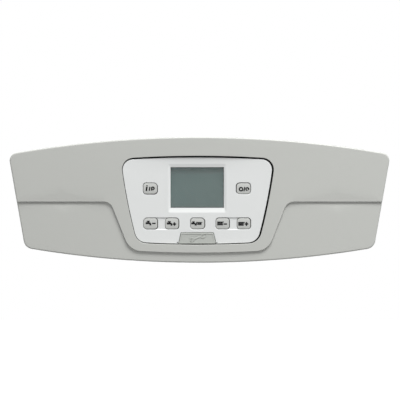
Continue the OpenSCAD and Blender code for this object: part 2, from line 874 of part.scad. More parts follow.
// White front plate with its skirt and flange, button holes, display hole and flap notch
module keypad_panel() {
    linked = key_outer_x - key_inner_x;
    color([0.88, 0.89, 0.88]) difference() {
        union() {
            keypad_prism(0, face_y, plate_y);
            difference() {
                keypad_prism(0, plate_y - eps, flange_back_y);
                keypad_prism(skirt_t, plate_y - over, flange_back_y + over);
            }
            difference() {
                union() {
                    keypad_prism(-flange_w, flange_y, flange_back_y);
                    keypad_spots() {
                        post(0, 0, keypad_tab_r, flange_y, flange_back_y);
                        slab(-keypad_tab_r, 0, 2 * keypad_tab_r, 2 * keypad_tab_r, flange_y, flange_back_y);
                    }
                }
                keypad_prism(skirt_t, flange_y - over, flange_back_y + over);
            }
            display_spots()
                post(0, 0, small_screw[0] + small_boss_wall, plate_y - eps, display_board_y);
            translate([group_x, 0, 0]) both_sides()
                slab(flap_bottom_half + flap_gap + hinge_block_w / 2, flap_bottom_z + hinge_block_h / 2,
                    hinge_block_w, hinge_block_h, plate_y - eps, plate_y + hinge_block_t);
        }
        display_aperture();
        key_pocket(info_key_x, key_upper_z, key_w);
        key_pocket(key_outer_x, key_upper_z, key_w);
        key_pocket(0, key_lower_z, key_w);
        key_pocket(-(key_outer_x + key_inner_x) / 2, key_lower_z, key_w + linked);
        key_pocket((key_outer_x + key_inner_x) / 2, key_lower_z, key_w + linked);
        key_hole(info_key_x, key_upper_z, 1);
        key_hole(key_outer_x, key_upper_z, -1);
        key_hole(-key_outer_x, key_lower_z, -1);
        key_hole(-key_inner_x, key_lower_z, 0);
        key_hole(0, key_lower_z, 1);
        key_hole(key_inner_x, key_lower_z, 0);
        key_hole(key_outer_x, key_lower_z, 0);
        translate([group_x, 0, 0]) along_y(face_y - over, notch_back_y) polygon(flap_outline(flap_gap));
        translate([group_x, flap_axis_y, flap_axis_z]) rotate([0, 90, 0])
            cylinder(r = flap_pin_r + flap_pin_play, h = 2 * (flap_bottom_half + flap_pin_l + clear),
                center = true);
        display_spots() post(0, 0, small_screw[0], display_board_y - display_pilot, display_board_y + over);
        keypad_spots() post(0, 0, small_screw[0] + clear, flange_y - over, flange_back_y + over);
    }
}

// Four screws that clamp the flange of the keypad panel to the front moulding
module keypad_screws() {
    color("silver") keypad_spots() screw_forward(0, 0, small_screw, flange_back_y, flange_t + keypad_bite);
}

// Clear window glued behind the keypad plate
module display_window() {
    color([0.75, 0.82, 0.8, 0.5])
        slab(group_x, view_z, view_w + 2 * window_lap, view_h + 2 * window_lap, plate_y, window_back_y);
}

// Liquid crystal cell: two glasses, the rear one with a contact ledge at its foot
module display_cell() {
    w = view_w + 2 * cell_lap;
    h = view_h + 2 * cell_lap;
    color([0.4, 0.45, 0.43]) {
        slab(group_x, view_z + ledge_h / 2, w, h - ledge_h, window_back_y, window_back_y + glass_t);
        slab(group_x, view_z, w, h, window_back_y + glass_t, cell_back_y);
    }
}

// Acrylic plate that spreads the backlight
module light_guide() {
    low = view_z - view_h / 2 - guide_low_lap;
    high = view_z + view_h / 2 + guide_lap;
    color([0.9, 0.95, 0.95])
        slab(group_x, (low + high) / 2, view_w + 2 * guide_lap, high - low, cell_back_y, guide_back_y);
}

// Row of lamps behind the light guide
module backlight_leds() {
    color("white") for (i = [0:lamp_count - 1])
        slab(row_x(group_x, lamp_pitch, lamp_count, i), view_z, lamp_size.x, lamp_size.y,
            guide_back_y + clear, display_board_y);
}

// Two elastic strips that connect the cell's ledge to the display board
module contact_strips() {
    ledge_z = view_z - view_h / 2 - cell_lap;
    color([0.85, 0.4, 0.5]) for (sx = [-1, 1])
        slab(group_x + sx * (strip_size.x + strip_gap) / 2, ledge_z + ledge_h / 2, strip_size.x, strip_size.y,
            cell_back_y, display_board_y);
}

// Plastic frame that holds the cell, the light guide and the strips
module display_frame() {
    w = view_w + 2 * (cell_lap + clear);
    h = view_h + 2 * (cell_lap + clear);
    color([0.95, 0.95, 0.95]) difference() {
        slab(group_x, view_z, 2 * frame_half_w, frame_top_z - frame_low_z, plate_y, display_board_y);
        slab(group_x, view_z, w, h, plate_y - over, display_board_y + over);
    }
}

module display_board() {
    mid_z = (display_board_top + display_board_bottom) / 2;
    color([0.1, 0.4, 0.2]) difference() {
        slab(group_x, mid_z, display_board_w, display_board_top - display_board_bottom,
            display_board_y, display_back_y);
        display_spots() post(0, 0, small_screw[0] + clear, display_board_y - over, display_back_y + over);
    }
}

// Chips on the back of the display board
module display_chips() {
    color([0.12, 0.12, 0.13]) for (p = display_chip_spots)
        slab(group_x + p[0], p[1], p[2], p[3], display_back_y, display_back_y + chip_t);
}

module display_screws() {
    color("silver") display_spots()
        screw_forward(0, 0, small_screw, display_back_y, board_t + display_bite);
}

module switch_body(x, z) {
    key_at(x, z) difference() {
        slab(0, 0, switch_w, switch_w, switch_front_y, display_board_y);
        post(0, 0, plunger_r + clear, switch_front_y - over, display_board_y - switch_floor);
    }
}

// Seven push switches on the display board
module switch_bodies() {
    color([0.15, 0.15, 0.16]) {
        for (x = [info_key_x, key_outer_x]) switch_body(x, key_upper_z);
        for (x = [-key_outer_x, -key_inner_x, 0, key_inner_x, key_outer_x]) switch_body(x, key_lower_z);
    }
}

// Socket behind the flap, for a service plug
module service_socket() {
    color([0.2, 0.2, 0.22]) difference() {
        slab(group_x, port_z, port_w + 2 * port_wall, port_h + 2 * port_wall,
            socket_front_y, display_board_y);
        slab(group_x, port_z, port_w, port_h, socket_front_y - over, socket_front_y + port_depth);
    }
}

// Open end of the spanner sign: a round head with a slot
module spanner_head() {
    difference() {
        circle(r = spanner_head_r);
        translate([spanner_slot.x / 2, 0]) square(spanner_slot, center = true);
    }
}

module spanner_sign() {
    reach = spanner_l / 2 - spanner_head_r;
    square([2 * reach - spanner_head_r, spanner_shaft_h], center = true);
    translate([reach, 0]) spanner_head();
    translate([-reach, 0]) rotate(180) spanner_head();
}

// Hinged flap with a raised border, a raised spanner sign and two hinge pins
module service_flap() {
    pin_reach = flap_bottom_half + flap_pin_l;
    relief_y = flap_front_y - relief_h;
    color([0.73, 0.745, 0.72]) translate([group_x, 0, 0]) {
        difference() {
            along_y(flap_front_y, flap_back_y) polygon(flap_outline(0));
            difference() {
                slab(0, flap_bottom_z, 2 * pin_reach, 2 * flap_lower_r, flap_front_y - over,
                    flap_front_y + flap_lower_r);
                translate([0, flap_front_y + flap_lower_r, flap_bottom_z + flap_lower_r]) rotate([0, 90, 0])
                    cylinder(r = flap_lower_r, h = 2 * (pin_reach + over), center = true);
            }
            both_sides() slab(flap_waist_half + pin_reach, flap_bottom_z, 2 * pin_reach, 2 * flap_axis_up,
                flap_front_y - over, flap_back_y + over);
        }
        along_y(relief_y, flap_front_y + eps) difference() {
            polygon(flap_outline(-flap_rim_inset));
            polygon(flap_outline(-flap_rim_inset - flap_rim_w));
            translate([-flap_bottom_half, flap_bottom_z]) square([2 * flap_bottom_half, 2 * flap_axis_up]);
        }
        along_y(relief_y, flap_front_y + eps)
            translate([spanner_x, flap_bottom_z + flap_h / 2 + spanner_up])
                rotate(spanner_tilt) spanner_sign();
        translate([0, flap_axis_y, flap_axis_z]) rotate([0, 90, 0])
            cylinder(r = flap_pin_r, h = 2 * pin_reach, center = true);
    }
}

// Box headers of the ribbon cable, one on each board
module ribbon_sockets() {
    color([0.2, 0.2, 0.22]) {
        slab(group_x, ribbon_top_z, ribbon_socket.x, ribbon_socket.y,
            display_back_y, display_back_y + ribbon_socket.z);
        slab(group_x, ribbon_low_z, ribbon_socket.x, ribbon_socket.y,
            main_board_y - ribbon_socket.z, main_board_y);
    }
}

// Flat cable from the display board to the main board, bent twice
module ribbon_cable() {
    front_y = display_back_y + ribbon_socket.z;
    back_y = main_board_y - ribbon_socket.z;
    mid_y = (front_y + back_y) / 2;
    t = ribbon_t / 2;
    inner = ribbon_bend_r - t;
    outer = ribbon_bend_r + t;
    above = concat(
        [[front_y, ribbon_top_z + t]],
        round_corner([mid_y + t, ribbon_top_z + t], [front_y, ribbon_top_z + t], [mid_y + t, 0], outer),
        round_corner([mid_y + t, ribbon_low_z + t], [mid_y + t, 0], [back_y, ribbon_low_z + t], inner),
        [[back_y, ribbon_low_z + t]]
    );
    below = concat(
        [[back_y, ribbon_low_z - t]],
        round_corner([mid_y - t, ribbon_low_z - t], [back_y, ribbon_low_z - t], [mid_y - t, 0], outer),
        round_corner([mid_y - t, ribbon_top_z - t], [mid_y - t, 0], [front_y, ribbon_top_z - t], inner),
        [[front_y, ribbon_top_z - t]]
    );
    color([0.7, 0.7, 0.72]) translate([group_x - ribbon_w / 2, 0, 0])
        rotate([90, 0, 90]) linear_extrude(height = ribbon_w) polygon(concat(above, below));
}

// One button cap with its retaining lip and stem
module key_cap(x, z, bulge) {
    color([0.8, 0.81, 0.79]) key_at(x, z) {
        along_y(key_front_y, key_lip_y + eps) polygon(key_outline(bulge, 0));
        along_y(key_lip_y, key_lip_y + key_lip_t) polygon(key_outline(bulge, key_lip));
        post(0, 0, stem_r, key_lip_y, stem_tip_y);
    }
}

// Moving plunger of one push switch
module plunger(x, z) {
    color([0.85, 0.2, 0.15]) key_at(x, z) post(0, 0, plunger_r, stem_tip_y, stem_tip_y + plunger_l);
}

module button_info() { key_cap(info_key_x, key_upper_z, 1); }
module button_reset() { key_cap(key_outer_x, key_upper_z, -1); }
module button_water_minus() { key_cap(-key_outer_x, key_lower_z, -1); }
module button_water_plus() { key_cap(-key_inner_x, key_lower_z, 0); }
module button_mode() { key_cap(0, key_lower_z, 1); }
module button_heat_minus() { key_cap(key_inner_x, key_lower_z, 0); }
module button_heat_plus() { key_cap(key_outer_x, key_lower_z, 0); }
module plunger_info() { plunger(info_key_x, key_upper_z); }
module plunger_reset() { plunger(key_outer_x, key_upper_z); }
module plunger_water_minus() { plunger(-key_outer_x, key_lower_z); }
module plunger_water_plus() { plunger(-key_inner_x, key_lower_z); }
module plunger_mode() { plunger(0, key_lower_z); }
module plunger_heat_minus() { plunger(key_inner_x, key_lower_z); }
module plunger_heat_plus() { plunger(key_outer_x, key_lower_z); }

module main_posts() {
    for (x = main_post_x, sz = [-1, 1]) translate([x, 0, sz * main_post_z]) children();
}

// Vent slots in the box's rear wall and upper wall, round the place x
module vents(x, z) {
    for (i = [0:vent_count - 1]) {
        slot_x = row_x(x, vent_pitch, vent_count, i);
        slab(slot_x, z, vent_w, vent_l, box_floor_y - over, box_depth + over);
        slab(slot_x, box_h / 2, vent_w, 2 * (box_wall + over), entry_y - vent_l / 2, entry_y + vent_l / 2);
    }
}

// Low ribs that stiffen the rear wall
module rear_ribs() {
    pitch = (rib_right - rib_left) / (rib_count - 1);
    for (sz = [-1, 1])
        slab((rib_left + rib_right) / 2, sz * rib_z, rib_right - rib_left + rib_w, rib_w,
            box_depth - eps, box_depth + rib_h);
    for (i = [0:rib_count - 1])
        slab(rib_left + i * pitch, 0, rib_w, 2 * rib_z, box_depth - eps, box_depth + rib_h);
}

// Seat of the cord clamp: a bar on two legs beside the grommet, with two screw posts
module clamp_seat() {
    low_z = -box_h / 2 + box_wall;
    top_z = clamp_z + clamp_h / 2;
    leg_x = grommet_outer_r[0] + clear + clamp_leg_w / 2;
    slab(clamp_x, clamp_z, 2 * leg_x + clamp_leg_w, clamp_h, clamp_seat_y - clamp_seat_t, clamp_seat_y);
    for (sx = [-1, 1]) {
        slab(clamp_x + sx * leg_x, (low_z + top_z) / 2, clamp_leg_w, top_z - low_z + 2 * eps,
            clamp_seat_y - clamp_seat_t, clamp_seat_y);
        post(clamp_x + sx * clamp_post_dx, clamp_z, clamp_post_r, clamp_seat_y - eps, clamp_bar_y);
    }
}

// Rear housing: a tray that opens to the front, with ears, board posts, cable holes and a terminal window
module control_box() {
    inner_w = box_w - 2 * box_wall;
    inner_h = box_h - 2 * box_wall;
    ear_w = ear_x - inner_w / 2;
    color([0.3, 0.31, 0.33]) difference() {
        union() {
            difference() {
                along_y(-box_front, box_depth) polygon(rounded_rect(box_w, box_h, box_corner_r));
                along_y(-box_front - over, box_floor_y)
                    polygon(rounded_rect(inner_w, inner_h, box_corner_r - box_wall));
            }
            for (sx = [-1, 1], sz = [-1, 1]) {
                slab(sx * (ear_x - ear_w / 2), sz * ear_z, ear_w, 2 * ear_r, -box_front, -box_front + ear_t);
                post(sx * ear_x, sz * ear_z, ear_r, -box_front, -box_front + ear_t);
            }
            rear_ribs();
            main_posts() post(0, 0, post_r, main_back_y, box_floor_y + eps);
            for (x = cover_screw_x)
                post(x, cover_screw_z, cover_post_r, box_floor_y - cover_post_l, box_floor_y + eps);
            clamp_seat();
        }
        slab(window_x, window_z, window_w, window_h, box_floor_y - over, box_depth + over);
        vents(sink_spot.x, sink_spot.y);
        ear_spots() post(0, 0, large_screw[0] + clear, -box_front - over, -box_front + ear_t + over);
        main_posts() post(0, 0, small_screw[0], main_back_y - over, main_back_y + main_pilot);
        for (x = cover_screw_x)
            post(x, cover_screw_z, small_screw[0], box_floor_y - cover_pilot, box_depth + over);
        for (sx = [-1, 1])
            post(clamp_x + sx * clamp_post_dx, clamp_z, small_screw[0], clamp_seat_y, clamp_bar_y + over);
        for (i = [0:2]) translate([entry_x[i], entry_y, -box_h / 2 - over])
            cylinder(r = entry_r[i] + grommet_wall, h = box_wall + 2 * over);
    }
}

// Four screws through the ears of the box into the front moulding
module box_screws() {
    color("silver") ear_spots() screw_forward(0, 0, large_screw, -box_front + ear_t, ear_t + ear_bite);
}

module main_board() {
    color([0.1, 0.4, 0.2]) difference() {
        slab(0, 0, main_board_w, main_board_h, main_board_y, main_back_y);
        main_posts() post(0, 0, small_screw[0] + clear, main_board_y - over, main_back_y + over);
    }
}

module main_board_screws() {
    color("silver") main_posts() screw_back(0, 0, small_screw, main_board_y, board_t + main_bite);
}

// Laminated iron core of the mains transformer
module transformer_core() {
    y0 = main_back_y + (coil_t - core_size.z) / 2;
    color([0.45, 0.45, 0.47]) difference() {
        slab(transformer_spot.x, transformer_spot.y, core_size.x, core_size.y,
            y0, y0 + core_size.z);
        for (sx = [-1, 1])
            slab(transformer_spot.x + sx * (core_leg + core_window.x) / 2, transformer_spot.y,
                core_window.x, core_window.y, y0 - over, y0 + core_size.z + over);
    }
}

// Coil of the transformer round the core's middle leg
module transformer_coil() {
    core_y = main_back_y + (coil_t - core_size.z) / 2;
    color([0.9, 0.75, 0.2]) difference() {
        slab(transformer_spot.x, transformer_spot.y, core_leg + 2 * core_window.x - 2 * clear,
            core_window.y - 2 * clear, main_back_y, main_back_y + coil_t);
        slab(transformer_spot.x, transformer_spot.y, core_leg + clear, core_window.y + over,
            core_y - snug, core_y + core_size.z + snug);
    }
}

module relays() {
    color([0.15, 0.2, 0.35]) for (i = [0:relay_count - 1])
        slab(row_x(relay_x, relay_pitch, relay_count, i), relay_z, relay_size.x, relay_size.y,
            main_back_y, main_back_y + relay_size.z);
}

// Electrolytic capacitors standing on the main board
module capacitors() {
    color([0.1, 0.12, 0.25]) for (p = capacitor_spots)
        post(p[0], p[1], p[2], main_back_y, main_back_y + p[3]);
}

// Bases with two clips each
module fuse_holders() {
    clip_h = fuse_base.z + 2 * fuse_r;
    color([0.85, 0.85, 0.8]) for (p = fuse_spots) {
        slab(p.x, p.y, fuse_base.x, fuse_base.y, main_back_y, main_back_y + fuse_base.z);
        for (sx = [-1, 1], sz = [-1, 1])
            slab(p.x + sx * (fuse_l / 2 - fuse_clip_inset), p.y + sz * (fuse_r + snug + fuse_clip.y / 2),
                fuse_clip.x, fuse_clip.y, main_back_y, main_back_y + clip_h);
    }
}

// Glass fuses
module fuses() {
    color([0.8, 0.85, 0.85]) for (p = fuse_spots)
        translate([p.x, main_back_y + fuse_base.z + fuse_r + snug, p.y]) rotate([0, 90, 0])
            cylinder(r = fuse_r, h = fuse_l, center = true);
}

// Ring choke of the mains filter, lying on the board
module filter_choke() {
    color([0.7, 0.4, 0.15]) translate([choke_spot.x, main_back_y + choke_wire_r, choke_spot.y])
        rotate([90, 0, 0]) rotate_extrude() translate([choke_r, 0]) circle(r = choke_wire_r, $fn = 24);
}

// Finned aluminium block
module heat_sink() {
    pitch = (sink_size.x - sink_fin_t) / (sink_fins - 1);
    y0 = main_back_y;
    color([0.75, 0.76, 0.78]) {
        slab(sink_spot.x, sink_spot.y, sink_size.x, sink_size.y, y0, y0 + sink_base_t);
        for (i = [0:sink_fins - 1])
            slab(sink_spot.x - sink_size.x / 2 + sink_fin_t / 2 + i * pitch, sink_spot.y,
                sink_fin_t, sink_size.y, y0 + sink_base_t - eps, y0 + sink_size.z);
    }
}

// Two power switches that stand against the heat sink
module power_switches() {
    z = sink_spot.y - (sink_size.y + power_switch_size.y) / 2 - snug;
    color([0.12, 0.12, 0.13]) for (dx = power_switch_x)
        slab(sink_spot.x + dx, z, power_switch_size.x, power_switch_size.y,
            main_back_y, main_back_y + power_switch_size.z);
}

module main_chips() {
    color([0.12, 0.12, 0.13]) for (p = chip_spots)
        slab(p[0], p[1], p[2], p[3], main_back_y, main_back_y + chip_t);
}

// Row of wire headers along the top of the main board
module board_headers() {
    color([0.92, 0.92, 0.9]) for (x = header_spots) difference() {
        slab(x, header_z, header_size.x, header_size.y, main_back_y, main_back_y + header_size.z);
        slab(x, header_z, header_size.x - 2 * header_wall, header_size.y - 2 * header_wall,
            main_back_y + header_floor, main_back_y + header_size.z + over);
    }
}

// Terminal block with a screw well and a wire hole for each pole
module terminal_block(mid_x, mid_z, pitch, count, h, t, well_r, hole_r) {
    difference() {
        slab(mid_x, mid_z, pitch * count, h, main_back_y, main_back_y + t);
        for (i = [0:count - 1]) {
            x = row_x(mid_x, pitch, count, i);
            post(x, mid_z, well_r, main_back_y + t - terminal_well_l, main_back_y + t + over);
            translate([x, main_back_y + t / 2 - wire_hole_drop, mid_z - h / 2 - over])
                cylinder(r = hole_r, h = h / 2 + over);
        }
    }
}

module mains_terminals() {
    color([0.85, 0.86, 0.82])
        terminal_block(terminal_x, terminal_z, terminal_pitch, terminal_count, terminal_block_h,
            terminal_block_t, terminal_well_r, wire_hole_r);
}

module sensor_terminals() {
    color([0.2, 0.55, 0.3])
        terminal_block(sensor_x, sensor_z, sensor_pitch, sensor_count, sensor_block_h, sensor_block_t,
            sensor_well_r, sensor_hole_r);
}

module terminal_screw(x, z, r, y) {
    difference() {
        post(x, z, r - snug, y, y + terminal_screw_h);
        slab(x, z, 2 * r, terminal_slot[0], y + terminal_screw_h - terminal_slot[1],
            y + terminal_screw_h + over);
    }
}

// Slotted screws at the bottom of the terminal wells
module terminal_screws() {
    color("silver") {
        for (i = [0:terminal_count - 1])
            terminal_screw(row_x(terminal_x, terminal_pitch, terminal_count, i), terminal_z, terminal_well_r,
                main_back_y + terminal_block_t - terminal_well_l);
        for (i = [0:sensor_count - 1])
            terminal_screw(row_x(sensor_x, sensor_pitch, sensor_count, i), sensor_z, sensor_well_r,
                main_back_y + sensor_block_t - terminal_well_l);
    }
}

// Brass strip for the earth wires
module earth_strip() {
    color([0.8, 0.65, 0.3]) difference() {
        slab(earth_spot.x, earth_spot.y, earth_size.x, earth_size.y, main_back_y, main_back_y + earth_size.z);
        for (dx = earth_screw_dx)
            post(earth_spot.x + dx, earth_spot.y, small_screw[0], main_back_y + earth_floor,
                main_back_y + earth_size.z + over);
    }
}

module earth_screws() {
    color([0.8, 0.7, 0.4]) for (dx = earth_screw_dx)
        screw_forward(earth_spot.x + dx, earth_spot.y, small_screw, main_back_y + earth_size.z, earth_bite);
}

// Rubber grommets in the lower wall, open for a cable each
module cable_grommets() {
    color([0.08, 0.08, 0.08]) for (i = [0:2]) {
        r0 = entry_r[i];
        r1 = r0 + grommet_wall - snug;
        r2 = grommet_outer_r[i];
        translate([entry_x[i], entry_y, -box_h / 2]) rotate_extrude() polygon([
            [r0, -grommet_flange_t], [r2, -grommet_flange_t], [r2, 0], [r1, 0], [r1, box_wall],
            [r2, box_wall], [r2, box_wall + grommet_flange_t], [r0, box_wall + grommet_flange_t]
        ]);
    }
}

// Bar that holds the mains cord against its seat
module cord_clamp() {
    color([0.9, 0.9, 0.88]) difference() {
        slab(clamp_x, clamp_z, 2 * (clamp_post_dx + clamp_post_r), clamp_h, clamp_bar_y,
            clamp_bar_y + clamp_bar_t);
        for (sx = [-1, 1])
            post(clamp_x + sx * clamp_post_dx, clamp_z, small_screw[0] + clear, clamp_bar_y - over,
                clamp_bar_y + clamp_bar_t + over);
    }
}

module clamp_screws() {
    color("silver") for (sx = [-1, 1])
        screw_forward(clamp_x + sx * clamp_post_dx, clamp_z, small_screw, clamp_bar_y + clamp_bar_t,
            clamp_bar_t + clamp_bite);
}

// Lid over the terminal window, with a lip inside it
module terminal_cover() {
    mid_x = (cover_screw_x[0] + cover_screw_x[1]) / 2;
    lid_w = cover_screw_x[1] - cover_screw_x[0] + 2 * cover_lap;
    lip_w = window_w - 2 * cover_lip_play;
    lip_h = window_h - 2 * cover_lip_play;
    color([0.3, 0.31, 0.33]) difference() {
        union() {
            translate([mid_x, 0, cover_screw_z]) along_y(box_depth, cover_back_y)
                polygon(rounded_rect(lid_w, window_h + 2 * cover_over, cover_corner_r));
            difference() {
                slab(window_x, cover_screw_z, lip_w, lip_h, box_depth - cover_lip_l, box_depth + eps);
                slab(window_x, cover_screw_z, lip_w - 2 * cover_lip_t, lip_h - 2 * cover_lip_t,
                    box_depth - cover_lip_l - over, box_depth);
            }
        }
        for (x = cover_screw_x)
            post(x, cover_screw_z, small_screw[0] + clear, box_depth - over, cover_back_y + over);
    }
}

module cover_screws() {
    color("silver") for (x = cover_screw_x)
        screw_forward(x, cover_screw_z, small_screw, cover_back_y, cover_t + cover_bite);
}

fascia();
keypad_seal();
keypad_panel();
keypad_screws();
display_window();
display_cell();
light_guide();
backlight_leds();
contact_strips();
display_frame();
display_board();
display_chips();
display_screws();
switch_bodies();
service_socket();
service_flap();
ribbon_sockets();
ribbon_cable();
button_info();
button_reset();
button_water_minus();
button_water_plus();
button_mode();
button_heat_minus();
button_heat_plus();
plunger_info();
plunger_reset();
plunger_water_minus();
plunger_water_plus();
plunger_mode();
plunger_heat_minus();
plunger_heat_plus();
control_box();
box_screws();
main_board();
main_board_screws();
transformer_core();
transformer_coil();
relays();
capacitors();
fuse_holders();
fuses();
filter_choke();
heat_sink();
power_switches();
main_chips();
board_headers();
mains_terminals();
sensor_terminals();
terminal_screws();
earth_strip();
earth_screws();
cable_grommets();
cord_clamp();
clamp_screws();
terminal_cover();
cover_screws();
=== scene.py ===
"""Control panel of a wall-hung condensing boiler: its shells, buttons, display, fittings and finishes.

Lengths are in metres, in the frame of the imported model: X to the right, Z up, and the front faces -Y.
Outlines are lists of (x, z) points, seen from the front.
"""

import json
import math

import bmesh
import bpy
import numpy as np
from bpy.props import FloatProperty, FloatVectorProperty, PointerProperty
from bpy.types import Operator, Panel, PropertyGroup
from mathutils import Matrix, Vector
from mathutils.geometry import delaunay_2d_cdt


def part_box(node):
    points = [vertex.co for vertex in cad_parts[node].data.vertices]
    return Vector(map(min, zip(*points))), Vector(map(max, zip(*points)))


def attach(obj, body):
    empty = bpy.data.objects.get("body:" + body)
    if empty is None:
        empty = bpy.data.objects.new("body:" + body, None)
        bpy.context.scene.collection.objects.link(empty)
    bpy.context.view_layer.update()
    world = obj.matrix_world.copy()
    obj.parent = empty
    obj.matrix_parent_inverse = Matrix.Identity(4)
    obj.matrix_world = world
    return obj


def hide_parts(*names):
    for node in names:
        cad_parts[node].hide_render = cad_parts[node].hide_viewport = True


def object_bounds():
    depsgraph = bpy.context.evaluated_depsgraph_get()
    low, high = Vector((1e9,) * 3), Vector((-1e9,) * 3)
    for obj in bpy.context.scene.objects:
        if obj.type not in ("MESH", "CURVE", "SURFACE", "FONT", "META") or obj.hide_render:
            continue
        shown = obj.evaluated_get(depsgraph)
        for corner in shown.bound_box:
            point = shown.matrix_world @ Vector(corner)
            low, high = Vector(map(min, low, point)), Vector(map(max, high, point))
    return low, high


bl_info = {
    "name": "Boiler Control Panel",
    "version": (1, 0, 0),
    "blender": (4, 5, 0),
    "location": "View3D > Sidebar > Boiler Panel",
    "description": "Builds the shells, buttons, display and finishes of a boiler's control panel",
    "category": "Object",
}

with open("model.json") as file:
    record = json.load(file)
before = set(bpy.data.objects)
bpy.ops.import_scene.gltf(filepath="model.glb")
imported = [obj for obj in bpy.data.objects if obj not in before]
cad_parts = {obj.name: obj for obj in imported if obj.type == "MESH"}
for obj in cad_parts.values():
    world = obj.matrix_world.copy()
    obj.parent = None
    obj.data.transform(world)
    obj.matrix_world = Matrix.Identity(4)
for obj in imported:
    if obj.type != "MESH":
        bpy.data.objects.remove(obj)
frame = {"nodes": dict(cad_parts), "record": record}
CAD_BOX = [list(corner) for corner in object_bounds()]
SLOT_OF = {part["node"]: part["material_slot"] for part in frame["record"]["subparts"]}
MM = 0.001

# Front moulding: outline, bow and step
PANEL_H = 139 * MM
PANEL_MID_W = 405.6 * MM
SIDE_LEAN = math.radians(10)
TOP_EDGE_R = 1205 * MM
BOTTOM_EDGE_R = 1150 * MM
CORNER_TOP_R = 9 * MM
CORNER_BOTTOM_R = 10.5 * MM
FRONT_DEPTH = 26 * MM
BOW = 14 * MM
BOW_HALF_W = 210 * MM
SKIN = 2.6 * MM
STEP_DROP = 2 * MM
STEP_SLOPE_W = 0.12 * MM
STEP_Z = -2.1 * MM
TONGUE_X = -0.8 * MM
TONGUE_HALF_W = 97.9 * MM
TONGUE_LEAN = math.radians(20.9)
TONGUE_MARGIN = 11 * MM
TONGUE_SHOULDER_R = 11 * MM
TONGUE_FOOT_R = 19 * MM

# Opening in the front moulding, and the keypad panel that stands in it
OPENING_X = -1.8 * MM
OPENING_TOP_Z = 48.6 * MM
OPENING_LOW_Z = 49.6 * MM
OPENING_MID_W = 157 * MM
OPENING_LEAN = math.radians(11)
OPENING_SIDE_R = 600 * MM
OPENING_TOP_R = 13 * MM
OPENING_BOTTOM_R = 14.5 * MM
COLLAR_T = 2 * MM
COLLAR_DEPTH = 8.5 * MM
GROUP_X = -2.5 * MM
GROUP_Z = -0.35 * MM
KEYPAD_GAP = 1.35 * MM
FACE_RECESS = 2.6 * MM
PLATE_T = 2.5 * MM
SKIRT_T = 2 * MM
FLANGE_W = 5.5 * MM
FLANGE_T = 2 * MM
SEAL_T = 1.2 * MM

# Curl of the keypad panel's upper edge: reach from the edge, rise above the middle, extra at the middle
CURL_W = 20 * MM
CURL_FROM_Z = 5 * MM
CURL_RISE_H = 30 * MM
CURL_MIDDLE_HALF_W = 60 * MM
CURL_MIDDLE_EXTRA = 1.4
CURL_STEPS = 10

# Display hole with its sloped border, the air between the window and the display cell behind it, and the
# heights between which the dark strip at the display's foot ends
VIEW_W = 59 * MM
VIEW_H = 45 * MM
BEZEL_SIDE = 2.6 * MM
BEZEL_TOP = 3.4 * MM
BEZEL_BOTTOM = 5.2 * MM
BEZEL_DEPTH = 1.35 * MM
BEZEL_TOP_DEPTH = 0.6 * MM
BEZEL_POWER = 0.6
BEZEL_SOFT = 0.15
BEZEL_SHARES = (0.5, 0.85, 0.92, 1, 1.08, 1.15)
BEZEL_CLEAR_SHARE = 1.3
WINDOW_PLAY = 0.1 * MM
DARK_FOOT_FROM = 0.9 * MM
DARK_FOOT_TO = 1.3 * MM

# Buttons and their pockets
KEY_W = 14.5 * MM
KEY_H = 11.7 * MM
KEY_R = 3 * MM
KEY_BULGE = 0.9 * MM
KEY_DOME_HALF_W = KEY_W * 0.62
KEY_GAP = 0.45 * MM
KEY_LIP = 1.1 * MM
KEY_LIP_T = 1.2 * MM
KEY_LIP_GAP = 0.3 * MM
KEY_FACE_DEPTH = 1.3 * MM
DOME_SCALES = (0.86, 0.7, 0.5, 0.3, 0.12)
POCKET_W = 1.1 * MM
POCKET_DEPTH = 0.8 * MM
POCKET_SLOPE_W = 0.85 * MM
POCKET_STEPS = 6
HOLE_ROUND = 0.14 * MM
STEM_R = 2.5 * MM
# Near-black colour painted on hidden sides and walls: painted shade for the dark gaps round the keypad panel
# and the buttons
GAP_SHADE_BASE = (0.018, 0.018, 0.019)

# Service flap with its border, its spanner sign and its hinge. A pin's slot has a width, a height and a
# corner radius.
FLAP_TOP_HALF = 17.9 * MM
FLAP_BOTTOM_HALF = 20.6 * MM
FLAP_H = 12.2 * MM
FLAP_T = 2.4 * MM
FLAP_GAP = 0.45 * MM
FLAP_CORNER_R = 1.6 * MM
FLAP_EDGE_R = 0.35 * MM
FLAP_LOWER_R = 0.6 * MM
FLAP_PIN_R = 0.8 * MM
FLAP_AXIS_UP = 1.7 * MM
FLAP_RIM_INSET = 0.7 * MM
FLAP_RIM_W = 0.9 * MM
PIN_SLOT = (1.5 * MM, 1 * MM, 0.3 * MM)
PIN_SLOT_OUT = 0.7 * MM
PIN_SLOT_UP = 1.1 * MM
HINGE_HALF_W = 2 * MM
HINGE_T = 2 * MM
HINGE_H = 4 * MM
NOTCH_HALF_W = FLAP_BOTTOM_HALF + 4 * MM
RELIEF_H = 0.35 * MM
RELIEF_EASE = 0.15 * MM
RELIEF_STEPS = 3
GROOVE_W = 0.6 * MM
GROOVE_DEPTH = 0.3 * MM
SPANNER_HALF_L = 6.3 * MM
SPANNER_HEAD_R = 2.8 * MM
SPANNER_SHAFT_HALF = 0.95 * MM
SPANNER_JAW_HALF = 1.05 * MM
SPANNER_JAW_FLOOR = 0.7 * MM
SPANNER_SHIFT = (0.2 * MM, 0.4 * MM)
SPANNER_TILT = math.radians(18)

# Places along Y, from the front to the back
CROWN_Y = -FRONT_DEPTH
FACE_Y = CROWN_Y + FACE_RECESS
PLATE_Y = FACE_Y + PLATE_T
COLLAR_Y = CROWN_Y + COLLAR_DEPTH
FLANGE_Y = COLLAR_Y + SEAL_T
FLANGE_BACK_Y = FLANGE_Y + FLANGE_T
NOTCH_Y = FLANGE_Y - 0.4 * MM
BOW_R = (BOW_HALF_W ** 2 + BOW ** 2) / (2 * BOW)

